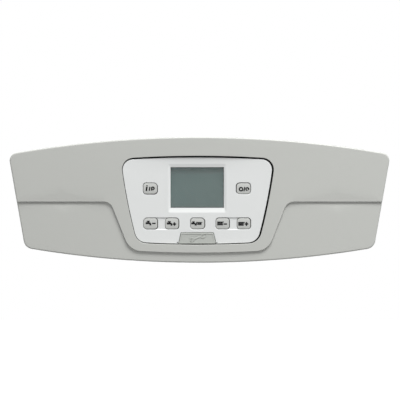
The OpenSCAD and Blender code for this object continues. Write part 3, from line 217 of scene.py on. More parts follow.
# Screw bosses: radius outside, radius and depth of the pilot hole. A boss reaches BOSS_SINK into the wall,
# and the radius of a screw's head gives its place inside the box of all screws like it.
CASING_BOSS = (4.5 * MM, 1.6 * MM, 9 * MM)
EAR_BOSS = (3.9 * MM, 1.5 * MM, 6 * MM)
KEYPAD_BOSS = (3.1 * MM, 1.1 * MM, 3.5 * MM)
BOARD_BOSS = (3.1 * MM, 1.1 * MM, 6 * MM)
LARGE_HEAD_R = 3 * MM
SMALL_HEAD_R = 2.2 * MM
BOSS_SINK = 0.4 * MM
CASING_PLACE = (186 * MM, 34 * MM)
EAR_FRONT_Y = -5 * MM
KEYPAD_SCREW_Z = (22 * MM, -28 * MM)
KEYPAD_SCREW_REACH = 10.6 * MM

# Each button: its name, the side that bulges, and the sides on which its gap is the wider
KEYS = (
    ("info", 1, (0.7, -1)), ("reset", -1, (-0.8, 1)), ("water_minus", -1, (1, -0.5)),
    ("water_plus", 0, (1, 0)), ("mode", 1, (1, 0.5)), ("heat_minus", 0, (1, 0.3)),
    ("heat_plus", 0, (0.7, 0.8)),
)
HOLE_SHIFT = 0.26 * MM
HOLE_EXTRA = 0.12 * MM

# Fineness of the outlines, and the reach of an outline that runs past the panel
ARC_STEPS = 24
CORNER_STEPS = 10
SIDE_STEPS = 8
CORNER_ROOM = 1.6
FAR = 0.26

# Points nearer than MERGE are one point, edges flatter than FLAT_EDGE are dissolved, those sharper than
# SHARP_EDGE are bevelled, and a face whose normal turns less than WALL_NORMAL to the front is a wall.
MERGE = 1e-6
FLAT_EDGE = math.radians(1)
SHARP_EDGE = math.radians(40)
WALL_NORMAL = 0.05


# Outlines

def arc_points(centre, radius, start, turn, steps):
    """Points along an arc, both ends included."""
    angles = [start + turn * i / steps for i in range(steps + 1)]
    return [(centre[0] + radius * math.cos(a), centre[1] + radius * math.sin(a)) for a in angles]


def round_corner(corner, before, after, radius, steps=CORNER_STEPS):
    """Arc that rounds a corner between its two neighbours."""
    corner = Vector(corner)
    u = (Vector(before) - corner).normalized()
    v = (Vector(after) - corner).normalized()
    half = u.angle(v) / 2
    centre = corner + (u + v).normalized() * radius / math.sin(half)
    first = corner + u * radius / math.tan(half) - centre
    last = corner + v * radius / math.tan(half) - centre
    start = math.atan2(first.y, first.x)
    turn = (math.atan2(last.y, last.x) - start + 3 * math.pi) % (2 * math.pi) - math.pi
    return arc_points(centre, radius, start, turn, steps)


def mirrored(points):
    return [(-x, z) for x, z in reversed(points)]


def moved(points, dx, dz, size=1):
    return [(x * size + dx, z * size + dz) for x, z in points]


def edge_z(x, crown, radius):
    """Height of a crowned edge at x."""
    return crown - radius + math.sqrt(radius * radius - x * x)


def side_x(z, half, lean, side_r):
    """Half width of a leaning side at the height z, bulging where side_r isn't 0."""
    return half + math.tan(lean) * z - (z * z / (2 * side_r) if side_r else 0)


def crown_corner(crown, radius, half, lean, side_r, sign):
    """Corner where a side meets the upper crowned edge, or the lower one when sign is -1."""
    x = half
    for _ in range(6):
        x = side_x(sign * edge_z(x, crown, radius), half, lean, side_r)
    return x, sign * edge_z(x, crown, radius)


def shield(top, top_r, low, low_r, half, lean, side_r, round_top, round_low, inset):
    """Outline with crowned top and bottom and leaning sides, drawn in by inset."""
    h = half - inset / math.cos(lean)
    tr, lr = top_r - inset, low_r - inset
    tp = crown_corner(top - inset, tr, h, lean, side_r, 1)
    lp = crown_corner(low - inset, lr, h, lean, side_r, -1)
    rt, rl = max(round_top - inset, MM), max(round_low - inset, MM)
    xt, xl = tp[0] - CORNER_ROOM * rt, lp[0] - CORNER_ROOM * rl
    zt, zl = tp[1] - CORNER_ROOM * rt, lp[1] + CORNER_ROOM * rl
    shares = [i / ARC_STEPS for i in range(ARC_STEPS + 1)]
    top_arc = [(xt * s, edge_z(xt * s, top - inset, tr)) for s in shares]
    low_arc = [(xl * s, -edge_z(xl * s, low - inset, lr)) for s in reversed(shares)]
    heights = [zt + (zl - zt) * i / SIDE_STEPS for i in range(SIDE_STEPS + 1)]
    side = [(side_x(z, h, lean, side_r), z) for z in heights]
    right = (top_arc + round_corner(tp, top_arc[-1], side[0], rt) + side
             + round_corner(lp, side[-1], low_arc[0], rl) + low_arc)
    return right + mirrored(right)[1:-1]


def panel_outline(inset):
    return shield(PANEL_H / 2, TOP_EDGE_R, PANEL_H / 2, BOTTOM_EDGE_R, PANEL_MID_W / 2, SIDE_LEAN, 0,
                  CORNER_TOP_R, CORNER_BOTTOM_R, inset)


def opening_outline(inset):
    outline = shield(
        OPENING_TOP_Z, TOP_EDGE_R - (PANEL_H / 2 - OPENING_TOP_Z),
        OPENING_LOW_Z, BOTTOM_EDGE_R - (PANEL_H / 2 - OPENING_LOW_Z),
        OPENING_MID_W / 2, OPENING_LEAN, OPENING_SIDE_R, OPENING_TOP_R, OPENING_BOTTOM_R, inset)
    return moved(outline, OPENING_X, 0)


def keypad_outline(inset):
    return moved(opening_outline(KEYPAD_GAP + inset), GROUP_X - OPENING_X, GROUP_Z)


def raised_outline(inset):
    """Raised face with its tongue: everything above the step line, drawn in by inset."""
    low = PANEL_H / 2 - TONGUE_MARGIN - inset
    low_r = BOTTOM_EDGE_R - TONGUE_MARGIN - inset
    half = TONGUE_HALF_W - inset / math.cos(TONGUE_LEAN)
    foot_half = side_x(-low - STEP_Z, half, TONGUE_LEAN, 0)
    foot = (foot_half, -edge_z(foot_half, low, low_r))
    shoulder = (half + inset * math.tan(TONGUE_LEAN), STEP_Z + inset)
    foot_r = TONGUE_FOOT_R - inset
    xl = foot[0] - foot_r
    shares = [i / ARC_STEPS for i in range(ARC_STEPS, -1, -1)]
    low_arc = [(xl * s, -edge_z(xl * s, low, low_r)) for s in shares]
    right = ([(0, FAR), (FAR, FAR), (FAR, STEP_Z + inset)]
             + round_corner(shoulder, (FAR, STEP_Z + inset), foot, TONGUE_SHOULDER_R + inset)
             + round_corner(foot, shoulder, low_arc[0], foot_r) + low_arc)
    return moved(right + mirrored(right)[1:-1], TONGUE_X, 0)


def rounded_rect(x, z, w, h, radius, steps=6):
    corners = [(w / 2, h / 2), (w / 2, -h / 2), (-w / 2, -h / 2), (-w / 2, h / 2)]
    points = []
    for i, corner in enumerate(corners):
        points += round_corner(corner, corners[i - 1], corners[(i + 1) % 4], radius, steps)
    return moved(points, x, z)


def key_outline(x, z, bulge, grow):
    """Outline of a button with one bulging side: 1 for the right, -1 for the left, 0 for none."""
    w, h = KEY_W / 2 + grow, KEY_H / 2 + grow
    outline = []
    for px, pz in rounded_rect(0, 0, 2 * w, 2 * h, KEY_R + grow, 8):
        swell = bulge * KEY_BULGE * (1 - (pz / h) ** 2) if bulge * px > 0 else 0
        outline.append((x + px + swell, z + pz))
    return outline


def flap_outline(top_z, bottom_z, grow):
    """Outline of the flap, whose sides run straight below its hinge axis."""
    slope = (FLAP_BOTTOM_HALF - FLAP_TOP_HALF) / FLAP_H
    dx = grow * (math.sqrt(1 + slope * slope) - slope)
    top = (FLAP_TOP_HALF + dx, top_z + grow)
    waist_half = FLAP_BOTTOM_HALF - slope * FLAP_AXIS_UP
    waist = (waist_half + dx + 2 * grow * slope, bottom_z + FLAP_AXIS_UP)
    radius = max(FLAP_CORNER_R + grow, 0.3 * MM)
    right = round_corner(top, (0, top[1]), waist, radius, 6) + [waist, (waist[0], bottom_z - grow)]
    return moved(right + mirrored(right), GROUP_X, 0)


# Mesh tools

def distances(points, outline):
    """Distance of each point from a closed outline, positive inside it."""
    p = np.asarray(points, float)[:, None, :]
    a = np.asarray(outline, float)
    b = np.roll(a, -1, axis=0)
    run = b - a
    length = np.maximum((run ** 2).sum(1), 1e-18)
    t = np.clip(((p - a) * run).sum(2) / length, 0, 1)
    gap = np.linalg.norm(p - (a + t[..., None] * run), axis=2).min(1)
    rise = np.where(run[:, 1] == 0, 1, run[:, 1])
    spans = (a[:, 1] > p[..., 1]) != (b[:, 1] > p[..., 1])
    left_of = p[..., 0] < run[:, 0] * (p[..., 1] - a[:, 1]) / rise + a[:, 0]
    inside = (spans & left_of).sum(1) % 2 == 1
    return np.where(inside, gap, -gap)


def deepest(points, outlines):
    """Distance inside the outline that holds each point deepest, negative outside all of them."""
    return np.maximum.reduce([distances(points, outline) for outline in outlines])


def grid_points(x, z, pitch, across, up):
    """Points of a square grid, where across and up are ranges of steps from the place x and z."""
    return [(x + i * pitch, z + k * pitch) for i in across for k in up]


def chosen(points, mask):
    return [p for p, picked in zip(points, mask) if picked]


def rounding(distance, radius):
    """How far a rounded edge falls back at a distance from the edge."""
    d = np.clip(radius - distance, 0, radius)
    return radius - np.sqrt(np.maximum(radius * radius - d * d, 0))


def round_insets(radius, steps=5):
    """Distances from an edge at which a rounding's rings lie."""
    return [radius * (1 - math.cos(math.pi / 2 * i / steps)) for i in range(steps + 1)]


def eased(share):
    """Share of a way that starts and ends softly."""
    share = np.clip(share, 0, 1)
    return share * share * (3 - 2 * share)


def sheet(bm, outlines, spots, keep, depth):
    """Triangulates the area between outlines and lifts each point to its depth. Returns the faces."""
    coords, edges = [], []
    for outline in outlines:
        first = len(coords)
        coords += [Vector(p) for p in outline]
        edges += [(first + i, first + (i + 1) % len(outline)) for i in range(len(outline))]
    coords += [Vector(p) for p in spots]
    places, _, triangles, *_ = delaunay_2d_cdt(coords, edges, [], 0, MERGE)
    places = np.array([tuple(p) for p in places])
    triangles = np.array(triangles)
    triangles = triangles[keep(places[triangles].mean(axis=1))]
    used = np.unique(triangles)
    verts = {i: bm.verts.new((places[i][0], y, places[i][1])) for i, y in zip(used, depth(places[used]))}
    return [bm.faces.new([verts[i] for i in triangle]) for triangle in triangles]


def border(faces, test):
    """Border edges of a set of faces, those whose middle passes the test."""
    inside = set(faces)
    return [
        edge for edge in {e for f in faces for e in f.edges}
        if sum(f in inside for f in edge.link_faces) == 1 and test((edge.verts[0].co + edge.verts[1].co) / 2)
    ]


def wall(bm, edges, y):
    """Draws edges straight back to the plane y and returns the new edges."""
    grown = bmesh.ops.extrude_edge_only(bm, edges=edges)["geom"]
    ends = {g for g in grown if isinstance(g, bmesh.types.BMVert)}
    for vert in ends:
        vert.co.y = y
    return [g for g in grown if isinstance(g, bmesh.types.BMEdge) and set(g.verts) <= ends]


def fill(bm, edges):
    """Fills the flat area between border loops."""
    bmesh.ops.triangle_fill(bm, edges=edges, use_beauty=True)


def thicken(bm, faces, back):
    """Closes a sheet into a solid. Back gives the depth of the point behind each point."""
    grown = bmesh.ops.extrude_face_region(bm, geom=faces, use_keep_orig=True)["geom"]
    for vert in (g for g in grown if isinstance(g, bmesh.types.BMVert)):
        vert.co.y = back(vert.co)


def loft(bm, rings, closed=False):
    """Joins rings of (x, y, z) points with faces; closed joins the last ring to the first."""
    loops = [[bm.verts.new(p) for p in ring] for ring in rings]
    pairs = list(zip(loops, loops[1:])) + ([(loops[-1], loops[0])] if closed else [])
    for a, b in pairs:
        for i in range(len(a)):
            bm.faces.new((a[i - 1], a[i], b[i], b[i - 1]))
    return [[bm.edges.get((loop[i - 1], loop[i])) for i in range(len(loop))] for loop in loops]


def ring_at(outline, y):
    return [(x, y, z) for x, z in outline]


def lathe(bm, profile, x, z, steps=32):
    """Turns a profile of (radius, y) points round the line through x and z along Y."""
    verts = [bm.verts.new((x + r, y, z)) for r, y in profile]
    edges = [bm.edges.new(pair) for pair in zip(verts, verts[1:])]
    bmesh.ops.spin(bm, geom=verts + edges, cent=(x, 0, z), axis=(0, 1, 0), angle=2 * math.pi,
                   steps=steps, use_merge=True)


def boss(bm, x, z, sizes, y0, y1):
    """Round boss from y0 back to y1 with a blind pilot hole."""
    outer, inner, depth = sizes
    lathe(bm, [(0, y0), (outer, y0), (outer, y1), (inner, y1), (inner, y1 - depth), (0, y1 - depth)], x, z)


def block(bm, low, high):
    """Box between two corners."""
    size = Vector(high) - Vector(low)
    middle = (Vector(high) + Vector(low)) / 2
    made = bmesh.ops.create_cube(bm, size=1)["verts"]
    bmesh.ops.scale(bm, vec=size, verts=made)
    bmesh.ops.translate(bm, vec=middle, verts=made)


def bevel(bm, edges, offset, segments):
    bmesh.ops.bevel(bm, geom=edges, offset=offset, offset_type="OFFSET", segments=segments, profile=0.5,
                    affect="EDGES", clamp_overlap=True, material=-1)


def object_of(name, data):
    """New object in the scene."""
    made = bpy.data.objects.new(name, data)
    bpy.context.scene.collection.objects.link(made)
    return made


def piece_from(bm, name, material, body, replaced=(), sharp=35, weigh=True, second=None, picks=None):
    """Turns a finished bmesh into a piece that rides on a body and stands for CAD nodes.

    The faces that pass picks take the second material.
    """
    bmesh.ops.remove_doubles(bm, verts=bm.verts[:], dist=MERGE)
    bmesh.ops.dissolve_degenerate(bm, edges=bm.edges[:], dist=MERGE / 10)
    bmesh.ops.recalc_face_normals(bm, faces=bm.faces[:])
    mesh = bpy.data.meshes.new(name)
    bm.to_mesh(mesh)
    bm.free()
    mesh.shade_smooth()
    mesh.set_sharp_from_angle(angle=math.radians(sharp))
    mesh.materials.append(material)
    if second:
        mesh.materials.append(second)
        for face in mesh.polygons:
            face.material_index = int(picks(face))
    piece = object_of(name, mesh)
    if weigh:
        piece.modifiers.new("Weighted normals", "WEIGHTED_NORMAL").keep_sharp = True
    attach(piece, body)
    if replaced:
        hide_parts(*replaced)


def bevelled_copy(node, offset, segments, material, name):
    """Copy of a CAD node of the housing, with its sharp edges bevelled."""
    bm = bmesh.new()
    bm.from_mesh(frame["nodes"][node].data)
    bmesh.ops.remove_doubles(bm, verts=bm.verts[:], dist=MERGE)
    bmesh.ops.dissolve_limit(bm, angle_limit=FLAT_EDGE, verts=bm.verts[:], edges=bm.edges[:])
    edges = [e for e in bm.edges if len(e.link_faces) == 2 and e.calc_face_angle() > SHARP_EDGE]
    bevel(bm, edges, offset, segments)
    piece_from(bm, name, material, "housing", (node,))


# Materials

def feed(tree, node, inputs):
    """Sets the inputs of a node, or links those that are given as another node's output."""
    for name, value in inputs.items():
        if isinstance(value, bpy.types.NodeSocket):
            tree.links.new(value, node.inputs[name])
        else:
            node.inputs[name].default_value = value


def add(tree, kind, inputs, **settings):
    """New shader node with its settings and inputs."""
    made = tree.nodes.new("ShaderNode" + kind)
    for name, value in settings.items():
        setattr(made, name, value)
    feed(tree, made, inputs)
    return made


def shader_of(name):
    """New material with its principled shader and its Object coordinates."""
    material = bpy.data.materials.new(name)
    material.use_nodes = True
    tree = material.node_tree
    return material, tree, tree.nodes["Principled BSDF"], add(tree, "TexCoord", {}).outputs["Object"]


def noise(tree, place, scale, detail=2, stretch=None):
    """Noise over Object coordinates, whose scale is in features per metre."""
    if stretch:
        place = add(tree, "Mapping", {"Scale": stretch, "Vector": place}).outputs["Vector"]
    return add(tree, "TexNoise", {"Scale": scale, "Detail": detail, "Vector": place}).outputs["Fac"]


def spread(tree, fac, low, high):
    """Maps a factor to the range from low to high."""
    return add(tree, "MapRange", {"To Min": low, "To Max": high, "Value": fac}).outputs["Result"]


def share_between(tree, value, low, high):
    """0 where a value is at low, 1 where it is at high."""
    return add(tree, "MapRange", {"From Min": low, "From Max": high, "Value": value}).outputs["Result"]


def blend(tree, fac, dark, light):
    """Mixes two colours, either of which may be another node's output."""
    a, b = ((*colour, 1) if isinstance(colour, tuple) else colour for colour in (dark, light))
    return add(tree, "Mix", {"A": a, "B": b, "Factor": fac}, data_type="RGBA").outputs["Result"]


def tinted(colour, share):
    return tuple(c * share for c in colour)


def shades(tree, fac, colour, low, high):
    """Shades of a colour, from its share low to its share high."""
    return blend(tree, fac, tinted(colour, low), tinted(colour, high))


def bump(tree, height, distance, strength=0.5):
    inputs = {"Distance": distance, "Strength": strength, "Height": height}
    return add(tree, "Bump", inputs).outputs["Normal"]


def moulded(name, colour, roughness=0.42, grain=2200, grain_depth=0.03, cloud=0.02):
    """Moulded plastic: a fine even grain, faint clouds of colour and an uneven sheen."""
    material, tree, shader, place = shader_of(name)
    feed(tree, shader, {
        "Base Color": shades(tree, noise(tree, place, 14, 3), colour, 1 - cloud, 1 + cloud),
        "Roughness": spread(tree, noise(tree, place, 160, 4), roughness - 0.05, roughness + 0.05),
        "Normal": bump(tree, noise(tree, place, grain), grain_depth * MM),
    })
    return material


def matt(name, colour, grain_depth):
    """Moulded plastic with hardly any shine."""
    material = moulded(name, colour, 0.6, grain_depth=grain_depth)
    material.node_tree.nodes["Principled BSDF"].inputs["Specular IOR Level"].default_value = 0.12
    return material


def metal(name, colour, roughness=0.3, stretch=(1, 1, 1)):
    """Metal with fine marks, drawn out along one axis where stretch says so."""
    material, tree, shader, place = shader_of(name)
    marks = noise(tree, place, 1500, 4, stretch)
    feed(tree, shader, {
        "Metallic": 1, "Base Color": shades(tree, marks, colour, 0.85, 1),
        "Roughness": spread(tree, marks, roughness - 0.08, roughness + 0.12),
        "Normal": bump(tree, marks, 0.02 * MM, 0.4),
    })
    return material


def rubber(name):
    """Matt black rubber with a soft pebbled skin."""
    material, tree, shader, place = shader_of(name)
    dusty = noise(tree, place, 300, 5)
    feed(tree, shader, {
        "Base Color": shades(tree, dusty, (0.012, 0.012, 0.012), 1, 1.8),
        "Roughness": spread(tree, dusty, 0.7, 0.85),
        "Normal": bump(tree, noise(tree, place, 1800, 3), 0.08 * MM),
    })
    return material


def clear(name, colour, alpha, roughness=0.05):
    """Clear window or glass: mostly see-through, with a polished skin and faint smears."""
    material, tree, shader, place = shader_of(name)
    smear = noise(tree, place, 90, 3)
    feed(tree, shader, {
        "Alpha": alpha, "IOR": 1.49, "Base Color": shades(tree, smear, colour, 0.96, 1),
        "Roughness": spread(tree, smear, roughness, roughness + 0.04),
    })
    return material


def solder_mask(name):
    """Green circuit board with lighter copper areas under the mask."""
    material, tree, shader, place = shader_of(name)
    cells = add(tree, "TexVoronoi", {"Scale": 130, "Vector": place}, distance="CHEBYCHEV")
    tracks = cells.outputs["Distance"]
    feed(tree, shader, {
        "Base Color": shades(tree, tracks, (0.012, 0.11, 0.035), 1, 2.2),
        "Roughness": spread(tree, noise(tree, place, 400), 0.22, 0.34),
        "Normal": bump(tree, tracks, 0.03 * MM, 0.3),
    })
    return material


def striped(name, dark, light, pitch, axis, roughness=0.5, metallic=0.0):
    """Stripes across one axis: laminations, windings or the leads of a flat cable."""
    material, tree, shader, place = shader_of(name)
    inputs = {"Scale": 0.314 / pitch, "Distortion": 0.4, "Vector": place}
    waves = add(tree, "TexWave", inputs, bands_direction=axis).outputs["Fac"]
    feed(tree, shader, {
        "Metallic": metallic, "Base Color": blend(tree, waves, dark, light),
        "Roughness": spread(tree, noise(tree, place, 500), roughness - 0.06, roughness + 0.06),
        "Normal": bump(tree, waves, 0.1 * MM),
    })
    return material


def liquid_crystal(name, colour):
    """Unlit display: grey-green, greener at the left, browner at the right, darker at its foot."""
    material, tree, shader, place = shader_of(name)
    low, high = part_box("display_cell")
    parts = add(tree, "SeparateXYZ", {"Vector": place}).outputs
    red, green, blue = colour
    across = share_between(tree, parts["X"], low.x, high.x)
    hue = blend(tree, across, (red * 0.96, green * 1.02, blue * 1.02), (red * 1.02, green * 0.94, blue * 0.9))
    foot_z = view_box()[0][1]
    foot = share_between(tree, parts["Z"], foot_z + DARK_FOOT_FROM, foot_z + DARK_FOOT_TO)
    feed(tree, shader, {
        "Base Color": blend(tree, foot, tinted(colour, 0.45), hue), "Specular IOR Level": 1,
        "Roughness": spread(tree, noise(tree, place, 700), 0.3, 0.36),
        "Normal": bump(tree, noise(tree, place, 3000), 0.01 * MM, 0.3),
    })
    return material


def white_for_views(tree):
    """1 where the camera, a reflection or a see-through surface looks, 0 for the light on the object."""
    path = add(tree, "LightPath", {}).outputs
    total = path["Is Camera Ray"]
    for kind in ("Is Glossy Ray", "Is Transmission Ray"):
        total = add(tree, "Math", {0: total, 1: path[kind]}, operation="MAXIMUM").outputs[0]
    return total


# Settings that a user would change

LENGTH = {"precision": 5, "subtype": "DISTANCE", "unit": "LENGTH"}
TINT = {"subtype": "COLOR", "size": 3, "min": 0, "max": 1}
POWER = {"subtype": "POWER", "unit": "POWER", "min": 0}
SHARE = {"subtype": "FACTOR", "min": 0, "max": 1}


class PanelForm(PropertyGroup):
    """Roundings and small forms of the moulded parts"""
    edge_round: FloatProperty(
        name="Edge rounding", description="Radius of the front moulding's outer edge",
        default=1.6 * MM, min=0.4 * MM, max=2.4 * MM, **LENGTH)
    step_round: FloatProperty(
        name="Step rounding", description="Radius of the step's upper edge",
        default=0.45 * MM, min=0.2 * MM, max=1.2 * MM, **LENGTH)
    step_fillet: FloatProperty(
        name="Step fillet", description="Radius at the foot of the step",
        default=0.4 * MM, min=0.1 * MM, max=0.8 * MM, **LENGTH)
    lip_round: FloatProperty(
        name="Lip rounding", description="Radius of the opening's front edge",
        default=0.5 * MM, min=0.3 * MM, max=1.6 * MM, **LENGTH)
    keypad_round: FloatProperty(
        name="Keypad rounding", description="Radius of the keypad panel's outer edge",
        default=0.4 * MM, min=0.2 * MM, max=1.2 * MM, **LENGTH)
    keypad_curl: FloatProperty(
        name="Keypad curl", description="How far the keypad panel's upper edge curls forward",
        default=0.3 * MM, min=0, max=1.2 * MM, **LENGTH)
    key_round: FloatProperty(
        name="Button rounding", description="Radius of a button's front edge",
        default=0.35 * MM, min=0.1 * MM, max=0.8 * MM, **LENGTH)
    key_dome: FloatProperty(
        name="Button dome", description="Height of the dome of a button's face",
        default=0.36 * MM, min=0, max=0.6 * MM, **LENGTH)
    print_depth: FloatProperty(
        name="Print thickness", description="Height of the printed signs above the buttons",
        default=0.04 * MM, min=0.01 * MM, max=0.1 * MM, **LENGTH)


class PanelFinish(PropertyGroup):
    """Colours of the parts that show from the front and from behind"""
    fascia: FloatVectorProperty(
        name="Front moulding", description="Colour of the front moulding",
        default=(0.495, 0.503, 0.4775), **TINT)
    keypad: FloatVectorProperty(
        name="Keypad panel", description="Colour of the keypad panel", default=(0.731, 0.745, 0.739), **TINT)
    keys: FloatVectorProperty(
        name="Buttons", description="Colour of the buttons", default=(0.516, 0.525, 0.507), **TINT)
    flap: FloatVectorProperty(
        name="Flap", description="Colour of the service flap", default=(0.44, 0.456, 0.428), **TINT)
    signs: FloatVectorProperty(
        name="Signs", description="Colour of the signs on the buttons", default=(0.012, 0.012, 0.013), **TINT)
    crystal: FloatVectorProperty(
        name="Display", description="Colour of the unlit display", default=(0.011, 0.049, 0.0445), **TINT)
    housing: FloatVectorProperty(
        name="Control box", description="Colour of the rear housing", default=(0.045, 0.047, 0.05), **TINT)


class PanelStage(PropertyGroup):
    """Camera and lamps"""
    distance: FloatProperty(
        name="Camera distance", description="Distance of the camera from the keypad face",
        default=5.5, min=1, max=8, **LENGTH)
    field: FloatProperty(
        name="Field width", description="Width that the picture covers at the keypad face",
        default=0.4421, min=0.2, max=1, **LENGTH)
    aim_x: FloatProperty(
        name="Aim sideways", description="Sideways place of the camera",
        default=0.00055, min=-0.1, max=0.1, **LENGTH)
    aim_z: FloatProperty(
        name="Aim height", description="Height of the camera", default=-0.00013, min=-0.1, max=0.1, **LENGTH)
    key_power: FloatProperty(
        name="Key lamp", description="Power of the lamp above the front", default=162, max=600, **POWER)
    rear_power: FloatProperty(
        name="Rear lamp", description="Power of the lamp above and behind", default=5, max=200, **POWER)
    fill: FloatProperty(
        name="Fill", description="Strength of the even light from all sides", default=0.585, **SHARE)
    floor_drop: FloatProperty(
        name="Floor drop", description="Drop of the floor below the panel's lowest point",
        default=0.21, min=0.01, max=1, **LENGTH)
    glow: FloatProperty(
        name="Floor whiteness", description="Light that the floor adds to what the camera sees of it",
        default=0.72, **SHARE)


# Pieces

def key_centre(name):
    low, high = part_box("plunger_" + name)
    return (low.x + high.x) / 2, (low.z + high.z) / 2


def key_face_y(x, z, centre, dome):
    """Depth of a button's domed face."""
    dx, dz = (x - centre[0]) / KEY_DOME_HALF_W, (z - centre[1]) / (KEY_H / 2)
    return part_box("button_mode")[0].y + dome * (dx * dx + dz * dz)


def view_box():
    """Corners of the visible display, as x and z."""
    low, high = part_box("display_window")
    x, z = (low.x + high.x) / 2, (low.z + high.z) / 2
    return (x - VIEW_W / 2, z - VIEW_H / 2), (x + VIEW_W / 2, z + VIEW_H / 2)


def bow_y(x):
    """Depth of the bowed face at x."""
    return CROWN_Y + BOW_R - np.sqrt(BOW_R ** 2 - np.square(x))


def seat_y(x, z):
    """Depth just inside the front wall's back at a place."""
    return float(bow_y(x)) + SKIN - BOSS_SINK + (STEP_DROP if z < STEP_Z and abs(x) > TONGUE_HALF_W else 0)


def step_fall(distance, form):
    """How far the step has fallen back at a distance inside its line."""
    above_fillet = STEP_DROP - form.step_fillet
    away = np.clip(distance + STEP_SLOPE_W + form.step_fillet, 0, form.step_fillet)
    foot = above_fillet + np.sqrt(np.maximum(form.step_fillet ** 2 - away ** 2, 0))
    slope = form.step_round + (above_fillet - form.step_round) * np.clip(-distance / STEP_SLOPE_W, 0, 1)
    top = rounding(distance, form.step_round)
    return np.where(distance >= 0, top, np.where(distance <= -STEP_SLOPE_W, foot, slope))


class BOILER_OT_stage(Operator):
    """Place the camera, the pale floor and the soft lamps"""
    bl_idname = "boiler.stage"
    bl_label = "Stage"

    def execute(self, context):
        stage = context.scene.boiler_stage
        lens = bpy.data.cameras.new("Camera")
        lens.sensor_width = 36
        lens.lens = lens.sensor_width * stage.distance / stage.field
        lens.clip_end = 100
        camera = object_of("Camera", lens)
        camera.location = (stage.aim_x, FACE_Y - stage.distance, stage.aim_z)
        camera.rotation_euler = (math.pi / 2, 0, 0)
        context.scene.camera = camera
        context.scene.view_settings.view_transform = "Standard"

        for name, place, size, power in (
                ("Key_lamp", (0.76, -1.46, 3.085), (1.8, 1.5), stage.key_power),
                ("Rear_lamp", (-0.5, 1.5, 1.3), (1.6, 1.2), stage.rear_power)):
            light = bpy.data.lights.new(name, "AREA")
            light.shape = "RECTANGLE"
            light.size, light.size_y = size
            light.energy = power
            lamp = object_of(name, light)
            lamp.location = place
            lamp.rotation_euler = Vector(place).to_track_quat("Z", "Y").to_euler()

        world = bpy.data.worlds.new("Studio")
        context.scene.world = world
        world.use_nodes = True
        tree = world.node_tree
        strength = spread(tree, white_for_views(tree), stage.fill, 1)
        feed(tree, tree.nodes["Background"], {"Color": (1, 1, 1, 1), "Strength": strength})

        bm = bmesh.new()
        bmesh.ops.create_grid(bm, x_segments=2, y_segments=2, size=6)
        bmesh.ops.translate(bm, vec=(0, 0, CAD_BOX[0][2] - stage.floor_drop), verts=bm.verts[:])
        mesh = bpy.data.meshes.new("Floor")
        bm.to_mesh(mesh)
        bm.free()
        floor = object_of("Floor", mesh)
        material, tree, shader, place = shader_of("floor_paper")
        seen = white_for_views(tree)
        pale = blend(tree, noise(tree, place, 3), (0.86, 0.86, 0.86), (0.88, 0.88, 0.88))
        feed(tree, shader, {
            "Base Color": blend(tree, seen, (0.12, 0.12, 0.12), pale), "Roughness": 0.9,
            "Emission Color": (1, 1, 1, 1), "Emission Strength": spread(tree, seen, 0, stage.glow),
        })
        mesh.materials.append(material)
        return {"FINISHED"}


